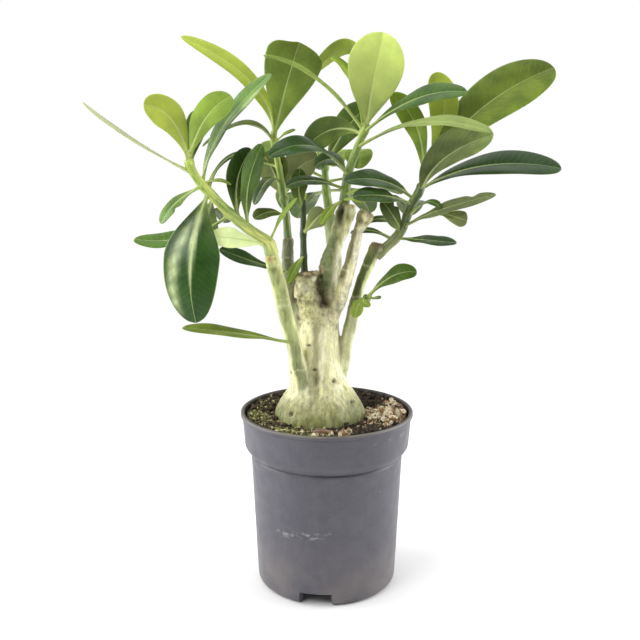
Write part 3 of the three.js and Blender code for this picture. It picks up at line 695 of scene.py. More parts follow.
@dataclass(frozen=True)
class PaleBark:
    """Smooth pale bark with fine lengthwise streaks; its zones of colour are stored in its vertices."""

    streak: Colour = (0.54, 0.57, 0.40)
    pale: Colour = (1.30, 1.28, 1.22)
    wart: Colour = (0.45, 0.38, 0.26)
    speck: Colour = (0.46, 0.50, 0.28)

    def build(self) -> Material:
        """Makes the material."""
        f = Finish("pale_bark")
        speckled, _, _ = f.parts(f.stored("bark_form"))
        drawn, long_way = f.stretched((1, 1, 0.3)), f.stretched((1, 1, 0.20))
        streaks = f.step(f.noise(520, 4, long_way), 0.49, 0.68)
        light = f.step(f.noise(300, 4, drawn), 0.50, 0.74)
        colour = f.mix(f.times(streaks, 0.55), f.stored("bark_tint"), self.streak, "MULTIPLY")
        colour = f.mix(light, colour, self.pale, "MULTIPLY")
        dashes = f.step(f.cells(900, places=f.stretched((1, 1, 0.42))), 0.34, 0.20)
        dashes = f.times(dashes, f.step(f.noise(240, 2, drawn), 0.40, 0.56))
        share = f.plus(f.times(speckled, 0.50), 0.1)
        colour = f.mix(f.times(dashes, share), colour, self.speck, "MULTIPLY")
        warts = f.times(f.step(f.cells(330), 0.15, 0.08), f.step(f.noise(130, 2), 0.52, 0.62))
        colour = f.mix(warts, colour, self.wart, "MULTIPLY")
        relief = f.plus(f.noise(480, 4, long_way), f.times(f.noise(1500, 3), 0.4))
        return f.surface(
            Base_Color=colour,
            Roughness=f.step(f.noise(200, 3), 0.3, 0.7, 0.46, 0.62),
            Specular_IOR_Level=0.3,
            Normal=f.bump(f.minus(relief, f.times(dashes, 0.5)), 0.0006, 0.8),
            Subsurface_Weight=0.12,
            Subsurface_Radius=(0.8, 1.0, 0.3),
            Subsurface_Scale=0.0015,
        )


@dataclass(frozen=True)
class GreenStem:
    """Young green stem, paler and greener by turns in lines along its length."""

    line: Colour = (1.55, 1.38, 1.30)
    shade: Colour = (0.50, 0.66, 0.40)

    def build(self) -> Material:
        """Makes the material."""
        f = Finish("green_stem")
        tint = f.stored("bark_tint")
        along = f.stored("bark_form")
        bands = f.noise(0.34, 2, along)
        fine = f.noise(1.4, 3, along)
        colour = f.mix(f.step(bands, 0.50, 0.34), tint, self.shade, "MULTIPLY")
        colour = f.mix(f.step(bands, 0.52, 0.66), colour, self.line, "MULTIPLY")
        colour = f.mix(f.step(fine, 0.50, 0.72, 0.0, 0.6), colour, self.line, "MULTIPLY")
        colour = f.mix(f.step(fine, 0.46, 0.28, 0.0, 0.6), colour, self.shade, "MULTIPLY")
        relief = f.plus(f.noise(0.9, 3, along), f.times(f.noise(900, 3), 0.4))
        return f.surface(
            Base_Color=colour,
            Roughness=0.42,
            Normal=f.bump(relief, 0.0005, 0.7),
            Subsurface_Weight=0.15,
            Subsurface_Radius=(0.7, 1.0, 0.2),
            Subsurface_Scale=0.0015,
        )


@dataclass(frozen=True)
class LeafBlade:
    """A leaf's skin: pale midrib and side veins, a fine net between them, and a pale thin edge.

    Each vertex stores leaf_place (along and across the blade in mm, and 1 on the upper face), leaf_form
    (share of the length, share of the half width, gloss) and leaf_tint.
    """

    pale_upper: Colour = (0.50, 0.60, 0.24)
    pale_under: Colour = (0.52, 0.58, 0.28)
    shade: Colour = (0.0, 0.0, 0.0)
    sunny: Colour = (1.22, 1.16, 1.02)
    net: Colour = (1.10, 1.09, 1.06)
    vein: Colour = (1.26, 1.22, 1.15)

    def build(self) -> Material:
        """Makes the material."""
        f = Finish("leaf_blade")
        place = f.stored("leaf_place")
        along, across, upper = f.parts(place)
        share, half, gloss = f.parts(f.stored("leaf_form"))
        off = f.math("ABSOLUTE", across)
        grown = f.step(gloss, 0.30, 0.75, 0.22, 1.0)
        patchy = f.step(gloss, 0.25, 0.70, 0.35, 1.0)
        rib = f.step(f.math("DIVIDE", off, f.step(share, 0.0, 0.95, 1.15, 0.20)), 1.05, 0.45)
        veins = f.times(self.side_veins(f, place, along, across, off), grown)
        net = f.step(f.cells(0.55, "DISTANCE_TO_EDGE", f.stretched((1, 1, 0), place)), 0.10, 0.02)
        cloud = f.noise(0.075, 2, f.stretched((1, 1, 3), place))
        clouded = f.times(f.step(cloud, 0.35, 0.75, 0.0, 0.30), patchy)
        colour = f.mix(clouded, f.stored("leaf_tint"), self.shade)
        colour = f.mix(f.times(f.step(cloud, 0.62, 0.30), patchy), colour, self.sunny, "MULTIPLY")
        colour = f.mix(f.times(net, grown), colour, self.net, "MULTIPLY")
        colour = f.mix(veins, colour, self.vein, "MULTIPLY")
        colour = f.mix(f.times(veins, 0.02), colour, self.pale_upper)
        colour = f.mix(f.times(rib, 0.66), colour, f.mix(upper, self.pale_under, self.pale_upper))
        edge = f.step(f.math("ABSOLUTE", half), 0.955, 1.0)
        colour = f.mix(f.times(edge, 0.35), colour, self.pale_upper)
        relief = f.minus(f.times(rib, -0.6), f.times(veins, 0.7))
        relief = f.minus(relief, f.times(net, 0.12))
        relief = f.plus(relief, f.times(f.noise(0.3, 2, place), 0.35))
        dull = f.times(upper, f.step(gloss, 0.2, 1.0, 0.62, 0.34))
        dull = f.plus(dull, f.times(f.minus(1.0, upper), 0.58))
        return f.surface(
            Base_Color=colour,
            Roughness=f.plus(dull, f.step(f.noise(0.4, 3, place), 0.2, 0.8, -0.05, 0.07)),
            Specular_IOR_Level=0.12,
            Normal=f.bump(relief, 0.00026, 0.8),
            Coat_Weight=f.step(gloss, 0.55, 1.0, 0.0, 0.32),
            Coat_Roughness=0.28,
            Subsurface_Weight=0.12,
            Subsurface_Radius=(0.7, 1.0, 0.15),
            Subsurface_Scale=0.0012,
        )

    @staticmethod
    def side_veins(f: Finish, place: Socket, along: Socket, across: Socket, off: Socket) -> Socket:
        """Share of side vein: slanting lines that curve towards the tip, set off between the halves."""
        run = f.minus(along, f.times(off, VEIN_SLANT))
        run = f.minus(run, f.times(off, off, VEIN_CURVE))
        turn = f.math("DIVIDE", run, VEIN_SPACING)
        turn = f.plus(turn, f.step(across, -0.01, 0.01, 0.0, VEIN_OFFSET))
        turn = f.plus(turn, f.times(f.noise(0.12, 2, f.stretched((1, 1, 0), place)), 1.3))
        return f.step(f.apart(f.math("FRACT", turn), 0.5), 0.085, 0.02)


def rib_of(root: Place, middle: Place, tip: Place, shares: Array) -> tuple[Array, Array]:
    """Places and directions along a rib.

    Args:
        root: Where it starts.
        middle: Where it is at half way.
        tip: Where it ends.
        shares: Shares of its way, from 0 to 1.

    Returns:
        A place and a direction for each share.
    """
    first, through, last = (np.array(p, float) for p in (root, middle, tip))
    pull = 2 * through - (first + last) / 2
    t = shares[:, None]
    places = (1 - t) ** 2 * first + 2 * t * (1 - t) * pull + t**2 * last
    ahead = (1 - t) * (pull - first) + t * (last - pull)
    return places, ahead / np.linalg.norm(ahead, axis=1)[:, None]


def route_of(points: tuple[Place, ...], count: int) -> tuple[Array, Array]:
    """Places and directions at equal steps along a smooth route.

    Args:
        points: What the route passes through.
        count: How many places are wanted.

    Returns:
        The places and the directions there.
    """
    given = np.array(points, float)
    ends = (2 * given[0] - given[1], 2 * given[-1] - given[-2])
    knots = np.vstack([ends[0], given, ends[1]])
    times = np.concatenate([[0], np.cumsum(np.sqrt(np.linalg.norm(np.diff(knots, axis=0), axis=1)))])
    fine = []
    for i in range(1, len(knots) - 2):
        for t in np.linspace(times[i], times[i + 1], 24, endpoint=i == len(knots) - 3):
            fine.append(_between(knots[i - 1 : i + 3], times[i - 1 : i + 3], t))
    line = np.array(fine)
    reach = np.concatenate([[0], np.cumsum(np.linalg.norm(np.diff(line, axis=0), axis=1))])
    steps = np.linspace(0, reach[-1], count)
    places = np.stack([np.interp(steps, reach, line[:, k]) for k in range(3)], axis=1)
    ahead = np.gradient(places, axis=0)
    return places, ahead / np.linalg.norm(ahead, axis=1)[:, None]


def _between(knots: Array, times: Array, t: float) -> Array:
    """A place on the smooth curve between the middle two of four knots."""
    spans = ([(0, 1), (1, 2), (2, 3)], [(0, 2), (1, 3)], [(1, 2)])
    level = list(knots)
    for span in spans:
        for i, (low, high) in enumerate(span):
            share = (t - times[low]) / (times[high] - times[low])
            level[i] = (1 - share) * level[i] + share * level[i + 1]
    return level[0]


def thickness(
    radius: Pair, swells: tuple[Swell, ...], share: Array | float, reach: float
) -> Array:
    """Radius along a limb.

    Args:
        radius: Its radius at its foot and at its end.
        swells: Where it is thicker: share of its length, extra radius and spread.
        share: Shares of its length.
        reach: Its length.

    Returns:
        The radius at each share.
    """
    around = radius[0] + (radius[1] - radius[0]) * share
    for at, extra, spread in swells:
        around = around + extra * np.exp(-(((share - at) * reach / spread) ** 2))
    return around


def carried_frames(ahead: Array) -> tuple[Array, Array]:
    """Two directions square to a route at each of its places, carried along it without twist."""
    side = Vector((0.3, 1.0, 0.2)).cross(Vector(ahead[0])).normalized()
    sides = []
    for way in map(Vector, ahead):
        side = (side - side.dot(way) * way).normalized()
        sides.append(side.copy())
    sides = np.array(sides)
    return sides, np.cross(ahead, sides)


class Blank:
    """A closed ball of rings, kept once and copied for every stem and leaf that is shaped from it."""

    def __init__(self, around: int, rings: int) -> None:
        """Makes the ball with this many vertices in a ring, and this many steps from end to end."""
        self.rings = rings
        self.ball = added("ball", bpy.ops.mesh.primitive_uv_sphere_add, segments=around, ring_count=rings)
        bpy.ops.object.shade_smooth()
        flat = places_of(self.ball)
        share = np.arcsin(np.clip(flat[:, 2], -1, 1)) / math.pi + 0.5
        self.ring = np.rint(share * rings).astype(int)
        self.turn = np.arctan2(flat[:, 1], flat[:, 0])

    def discard(self) -> None:
        """Takes the kept ball away."""
        bpy.data.objects.remove(self.ball)


@dataclass(frozen=True)
class Skin:
    """Where each vertex lies on a leaf.

    Args:
        share: Share of the leaf's length.
        across: Share of the half width, from -1 to 1.
        sine: Above 0 on the upper skin and below 0 on the under one.
        half: Half the blade's width there, in mm.
        x: How far off the rib it is, in mm.
        length: The leaf's length, in mm.
    """

    share: Array
    across: Array
    sine: Array
    half: Array
    x: Array
    length: float


@dataclass
class LeafShaper:
    """Shapes leaves from a blank, by the same outline and fold for all."""

    blank: Blank
    petiole_half_width: float = 1.4
    petiole_half_depth: float = 1.15
    petiole_foot: float = 1.6
    tip_half_width: float = 0.45
    blade_half_depth: float = 0.36
    base_taper: float = 1.35
    fold: float = 0.2
    fold_spread: float = 1.6
    ridge: float = 0.95
    groove: float = 0.30
    quilt: float = 0.07
    young: Colour = (0.40, 0.48, 0.13)
    glint: Colour = (0.60, 0.72, 0.40)

    def half_width(self, share: Array, leaf: Leaf) -> Array:
        """Half the blade's width at a share of its length."""
        wedge = np.sin(math.pi / 2 * np.minimum(1, share / leaf.widest) ** self.base_taper)
        past = np.maximum(0, share - leaf.widest) / (1 - leaf.widest)
        least = self.petiole_half_width + (self.tip_half_width - self.petiole_half_width) * share
        return np.maximum(least, leaf.width / 2 * wedge * np.sqrt(np.maximum(0, 1 - past**2)))

    def shape(self, name: str, leaf: Leaf, chance: Random) -> Piece:
        """Makes one leaf.

        Args:
            name: Name of the piece.
            leaf: Its form.
            chance: Draws what differs from leaf to leaf.

        Returns:
            The leaf, with the values that its finish reads.
        """
        ring, rings = self.blank.ring, self.blank.rings
        even = np.linspace(0, 1, rings + 1)
        shares = 0.5 * even + 0.25 * (1 - np.cos(math.pi * even))
        middle, ahead = rib_of(leaf.root, leaf.middle, leaf.tip, shares)
        length = np.linalg.norm(np.diff(middle, axis=0), axis=1).sum()
        face = np.array(leaf.face, float)
        up = face - (ahead @ face)[:, None] * ahead
        up /= np.linalg.norm(up, axis=1)[:, None]
        side = np.cross(up, ahead)
        end = np.sqrt(np.clip(1 - np.abs(2 * even[ring] - 1) ** (rings * 0.6), 0, 1))
        skin = self.skin(leaf, shares[ring], end, length)
        blend = smooth_step(0.03, 0.26, skin.share)
        rise = self.relief(leaf, skin, blend, chance) * end + blend * self.bend(leaf, skin, chance)
        piece = copied(name, self.blank.ball)
        put_places(piece, (middle[ring] + side[ring] * skin.x[:, None] + up[ring] * rise[:, None]) * MM)
        self.store(piece, leaf, skin, chance)
        return piece

    def skin(self, leaf: Leaf, share: Array, end: Array, length: float) -> Skin:
        """Where the blank's vertices lie on a leaf, at shares of its length and with closed ends."""
        cosine, sine = np.cos(self.blank.turn), np.sin(self.blank.turn)
        across = cosine * (0.5 + 0.5 * cosine**2)
        half = self.half_width(share, leaf)
        for bite in leaf.bites:
            gone = bite.depth * np.exp(-(((share - bite.along) / bite.spread) ** 2))
            half = half * (1 - gone * (across * bite.side > 0))
        flare = 1 + 0.45 * np.exp(-share * length / self.petiole_foot)
        return Skin(share, across, sine, half, half * across * flare * end, length)

    def relief(self, leaf: Leaf, skin: Skin, blend: Array, chance: Random) -> Array:
        """Makes a round petiole that thins out into a ridged blade.

        Args:
            leaf: The leaf's form.
            skin: Where its vertices lie.
            blend: 0 on the petiole and 1 on the blade.
            chance: Draws where its side veins start.

        Returns:
            How far each vertex is off the blade's middle.
        """
        x, sine = skin.x, skin.sine
        foot = np.exp(-skin.share * skin.length / self.petiole_foot)
        stalk = self.petiole_half_depth * sine * (1 + 0.3 * foot)
        small = min(1.0, leaf.width / 14)
        body = self.blade_half_depth * np.sign(sine) * np.sqrt(np.clip(1 - skin.across**4, 0, 1))
        fade = 1 - 0.8 * skin.share
        ridge = -self.ridge * small * fade * np.exp(-((x / (1.3 * fade + 0.2)) ** 2)) * (sine < 0)
        groove = -self.groove * small * fade * np.exp(-((x / 0.9) ** 2)) * (sine > 0)
        run = skin.share * skin.length - VEIN_SLANT * np.abs(x) - VEIN_CURVE * x**2
        slant = run / VEIN_SPACING + VEIN_OFFSET * (x > 0)
        grown = float(np.clip((leaf.tone.value[2] - 0.4) / 0.4, 0, 1))
        swell = np.cos(2 * math.pi * (slant + chance.random())) * (1 - skin.across**2)
        return (1 - blend) * stalk + blend * (body + ridge + groove + self.quilt * grown * small * swell)

    def bend(self, leaf: Leaf, skin: Skin, chance: Random) -> Array:
        """How far the blade itself rises: folded along its rib, with edges that wave."""
        off = np.sqrt(skin.across**2 + 0.004)
        fold = skin.half * self.fold * off * (self.fold_spread - off)
        turns, lag = chance.uniform(1.6, 2.6), chance.uniform(0, 2 * math.pi)
        phase = 2 * math.pi * turns * skin.share + lag + np.where(skin.across > 0, 1.3, 0)
        wave = leaf.wave * np.abs(skin.across) ** 2.2 * np.sin(phase) * np.sin(math.pi * skin.share)
        return leaf.cup * fold + wave * min(1.0, leaf.width / 16)

    def store(self, piece: Piece, leaf: Leaf, skin: Skin, chance: Random) -> None:
        """Stores what the blade's finish reads."""
        above, below, gloss = leaf.tone.value
        share, across = skin.share, skin.across
        upper = (skin.sine > -1e-4).astype(float)
        put_attribute(piece, "leaf_place", np.stack([share * skin.length, skin.x, upper], axis=1))
        put_attribute(piece, "leaf_form", np.stack([share, across, np.full_like(across, gloss)], axis=1))
        chance.random()  # A spare draw, which keeps the two below and all later leaves as they are.
        shade, warm = chance.uniform(0.88, 1.12), chance.uniform(0.93, 1.07)
        # Painted light and shade: lighter towards one edge of the blade; also darker towards one end.
        lighter = np.exp(leaf.painted_side_light * across - leaf.fade * (share - 0.6))[:, None]
        tint = blended(below, above, upper) * shade * np.array([warm, 1.0, 1.0]) * lighter
        # Painted highlight: a pale glint laid into the tint along one margin and the broad rib.
        if leaf.shine:
            tint = blended(tint, self.glint, leaf.shine * self.glance(skin) * upper)
        foot = 0.65 * np.exp(-share * skin.length / 9)
        put_attribute(piece, "leaf_tint", blended(tint, self.young, foot))

    @staticmethod
    def glance(skin: Skin) -> Array:
        """Where light glances off: a band along one margin, broken by side veins, and the broad rib."""
        share, x = skin.share, skin.x
        middle = -0.42 - 0.42 * smooth_step(0.15, 0.95, share)
        band = np.exp(-(((skin.across - middle) / 0.17) ** 2))
        band = band * smooth_step(0.14, 0.34, share) * smooth_step(0.97, 0.80, share)
        slant = (share * skin.length - VEIN_SLANT * np.abs(x)) / (2 * VEIN_SPACING)
        band = band * (0.80 + 0.20 * np.cos(2 * math.pi * slant))
        rib = np.exp(-((x / (2.3 * (1 - share) + 0.25)) ** 4))
        return np.maximum(band, rib * smooth_step(0.10, 0.22, share) * smooth_step(0.80, 0.55, share))


@dataclass
class StemShaper:
    """Shapes round stems and limbs from a blank."""

    blank: Blank

    def shape(
        self,
        name: str,
        points: tuple[Place, ...],
        radius: Pair,
        colours: Colours,
        knots: tuple[Place, ...] = (),
        blunt: bool = False,
        flare: float = 0.0,
        swells: tuple[Swell, ...] = (),
    ) -> Piece:
        """Makes one stem.

        Args:
            name: Name of the piece.
            points: Places that it passes through.
            radius: Its radius at its foot and at its end.
            colours: Its colour at its foot and at its end.
            knots: Places where leaves leave it, where it swells a little.
            blunt: Whether its end is cut flat.
            flare: How much wider its foot is.
            swells: Where it is thicker: share of its length, extra radius and spread.

        Returns:
            The stem, with its colours stored in its vertices.
        """
        rings = self.blank.rings
        middle, ahead = route_of(points, rings + 1)
        sides, ups = carried_frames(ahead)
        reach = np.linalg.norm(np.diff(middle, axis=0), axis=1).sum()
        even = np.linspace(0, 1, rings + 1)
        around = thickness(radius, swells, even, reach) + flare * np.exp(-((even * reach / 9) ** 2))
        for knot in knots:
            off = np.linalg.norm(middle - np.array(knot), axis=1)
            around = around + 0.35 * np.exp(-((off / 2.2) ** 2))
        round_off = 0.6 if blunt else radius[1]
        left = (1 - even) * reach
        around = around * np.sqrt(np.clip(1 - np.clip(1 - left / round_off, 0, 1) ** 2, 0, 1))
        around = around * np.sqrt(np.clip(1 - np.clip(1 - even * reach / 0.6, 0, 1) ** 2, 0, 1))
        ring, turn = self.blank.ring, self.blank.turn
        out = np.cos(turn)[:, None] * sides[ring] + np.sin(turn)[:, None] * ups[ring]
        piece = copied(name, self.blank.ball)
        put_places(piece, (middle[ring] + out * around[ring][:, None]) * MM)
        put_attribute(piece, "bark_tint", blended(*colours, even[ring]))
        put_attribute(piece, "bark_form", self.unrolled(even[ring] * reach, turn, around[ring]))
        return piece

    @staticmethod
    def unrolled(along: Array, turn: Array, radius: Array) -> Array:
        """Places round and along a straightened stem, in mm, with its length drawn together."""
        return np.stack([radius * np.cos(turn), radius * np.sin(turn), 0.11 * along], axis=1)


def turned(name: str, profile: list[Pair], sides: int) -> Piece:
    """Spins a profile of (radius, height) about the upright axis into a closed turned piece.

    Args:
        name: Name of the piece.
        profile: Radius and height of each corner, from the foot of the axis round to its top.
        sides: Steps of the spin.

    Returns:
        The turned piece.
    """
    piece = added(name, bpy.ops.mesh.primitive_plane_add, size=1)
    bpy.ops.object.mode_set(mode="EDIT")
    bpy.ops.mesh.select_mode(type="VERT")
    bpy.ops.mesh.merge(type="CENTER")
    first = np.array((profile[0][0], 0, profile[0][1])) * MM
    bpy.ops.transform.translate(value=tuple(first))
    for (r0, z0), (r1, z1) in zip(profile, profile[1:]):
        step = ((r1 - r0) * MM, 0, (z1 - z0) * MM)
        bpy.ops.mesh.extrude_region_move(TRANSFORM_OT_translate={"value": step})
    bpy.ops.mesh.select_all(action="SELECT")
    bpy.ops.mesh.spin(steps=sides, angle=2 * math.pi, center=(0, 0, 0), axis=(0, 0, 1))
    bpy.ops.mesh.select_all(action="SELECT")
    bpy.ops.mesh.remove_doubles(threshold=1e-6)
    bpy.ops.mesh.normals_make_consistent(inside=False)
    bpy.ops.object.mode_set(mode="OBJECT")
    return piece


@dataclass
class Pot:
    """Thin-walled nursery pot with a lip, a collar, drain notches and a raised floor."""

    rim_radius: float = 60
    height: float = 124
    collar_height: float = 22
    shoulder_height: float = 7
    lip_width: float = 2.8
    lip_height: float = 2.6
    lip_edge: float = 0.6
    collar_top_radius: float = 58.7
    collar_bottom_radius: float = 57.3
    body_top_radius: float = 53
    body_bottom_radius: float = 49
    corner_radius: float = 5
    wall: float = 1.4
    floor_rise: float = 9.5
    pad_radius: float = 15
    pad_slope: float = 6
    foot_width: float = 1
    sides: int = 180
    notch_count: int = 3
    notch_width: float = 27
    notch_height: float = 9.2
    notch_slant: float = 1.6
    notch_funnel: float = 0.5
    notch_turn: float = math.radians(-99)
    drain_count: int = 6
    drain_radius: float = 4
    drain_ring: float = 31

    def profile(self) -> list[Pair]:
        """Corners of the wall's section, from the middle of the pad out, up, over the lip and back."""
        top, rim, edge, wall = self.height, self.rim_radius, self.lip_edge, self.wall
        foot, rise, pad = self.foot_width, self.floor_rise, self.pad_radius + self.pad_slope
        collar_bottom = top - self.collar_height
        body_top, body = collar_bottom - self.shoulder_height, self.body_top_radius
        under, inner = top - self.lip_height, rim - self.lip_width
        corner = self.body_bottom_radius - self.corner_radius
        floor_edge = self.body_bottom_radius - wall
        turns = [math.radians(degrees) for degrees in range(-80, 1, 10)]
        bend = [
            (corner + self.corner_radius * math.cos(turn), self.corner_radius * (1 + math.sin(turn)))
            for turn in turns
        ]
        return [
            (0, 0),
            (self.pad_radius, 0),
            (pad, rise),
            (corner - 2 * foot, rise),
            (corner - foot, 0),
            (corner, 0),
            *bend,
            (body - 0.15, body_top - 3),
            (body - 0.1, body_top - 1.2),
            (body - 0.6, body_top - 0.5),
            (body + 0.1, body_top + 0.1),
            *self.shoulder(body_top, collar_bottom),
            (self.collar_bottom_radius, collar_bottom + 0.6),
            (self.collar_top_radius, under - edge),
            (rim - 0.35, under - 0.1),
            (rim, under + 0.4),
            (rim, top - edge),
            (rim - 0.2, top - 0.2),
            (rim - edge, top),
            (inner + edge, top),
            (inner + 0.15, top - 0.3),
            (inner, top - 2 * edge),
            (self.collar_bottom_radius - wall, collar_bottom + edge),
            (body - wall, body_top + edge),
            (floor_edge, rise + wall + foot),
            (floor_edge - foot, rise + wall),
            (pad - edge, rise + wall),
            (self.pad_radius - edge, wall),
            (0, wall),
        ]

    def shoulder(self, low: float, high: float) -> list[Pair]:
        """The outward sweep from the body to the collar's lower edge."""
        start, end = self.body_top_radius + 0.6, self.collar_bottom_radius
        points = []
        for step in range(1, 10):
            share = step / 9
            sweep = math.sin(math.pi / 2 * share) ** 1.25
            points.append((start + (end - start) * sweep, low + (high - low) * share))
        return points

    def build(self) -> Piece:
        """Turns the pot, cuts its notches and drain holes and smooths its skin."""
        pot = turned("pot_shell", self.profile(), self.sides)
        for i in range(self.notch_count):
            self.cut(pot, self.notch(self.notch_turn + 2 * math.pi * i / self.notch_count))
        for i in range(self.drain_count):
            self.cut(pot, self.drain(self.notch_turn + 2 * math.pi * (i + 0.5) / self.drain_count))
        choose(pot)
        bpy.ops.object.shade_smooth_by_angle(angle=math.radians(38))
        return pot

    def notch(self, turn: float) -> Piece:
        """A block, narrower at its top, where the foot is cut away."""
        block = added("notch", bpy.ops.mesh.primitive_cube_add, size=1)
        inside = self.drain_ring + self.drain_radius
        outside = self.body_bottom_radius + self.foot_width
        half = self.notch_width / 2
        corners = places_of(block)
        top = corners[:, 2] > 0
        across = np.sign(corners[:, 1]) * np.where(top, half - self.notch_slant, half)
        across = across * np.where(corners[:, 0] > 0, 1, self.notch_funnel)
        along = np.where(corners[:, 0] > 0, outside, inside)
        height = np.where(top, self.notch_height, -self.foot_width)
        put_places(block, self.rotated(np.stack([along, across, height], axis=1), turn) * MM)
        return block

    def drain(self, turn: float) -> Piece:
        """A round plug where the floor has a drain hole."""
        sizes = {"radius": self.drain_radius, "depth": self.floor_rise + 2 * self.wall}
        plug = added("drain", bpy.ops.mesh.primitive_cylinder_add, vertices=32, **sizes)
        shift = np.array((self.drain_ring, 0, self.floor_rise))
        put_places(plug, self.rotated(places_of(plug) + shift, turn) * MM)
        return plug

    @staticmethod
    def rotated(places: Array, turn: float) -> Array:
        """Places turned about the pot's axis."""
        cosine, sine = math.cos(turn), math.sin(turn)
        return places @ np.array([[cosine, sine, 0], [-sine, cosine, 0], [0, 0, 1]])

    @staticmethod
    def cut(pot: Piece, tool: Piece) -> None:
        """Takes the tool's space out of the pot."""
        apply_modifier(pot, "BOOLEAN", object=tool, operation="DIFFERENCE", solver="EXACT")
        bpy.data.objects.remove(tool)

    def dress(self, pot: Piece) -> None:
        """Gives the pot its plastic and its place on the body."""
        hand_over(pot, GreyPlastic().build(), "pot")


class Drawn(Enum):
    """What draws loose lumps to a place: the moss or the grit that covers it, or bare peat."""

    BY_MOSS = 0
    BY_GRIT = 1
    BY_PEAT = 2


@dataclass(frozen=True)
class Spot:
    """A round rise in the soil, or a round patch of its cover."""

    x: float
    y: float
    height: float
    spread: float

    def at(self, x: Array, y: Array) -> Array:
        """Its height at these places."""
        return self.height * np.exp(-((x - self.x) ** 2 + (y - self.y) ** 2) / self.spread**2)


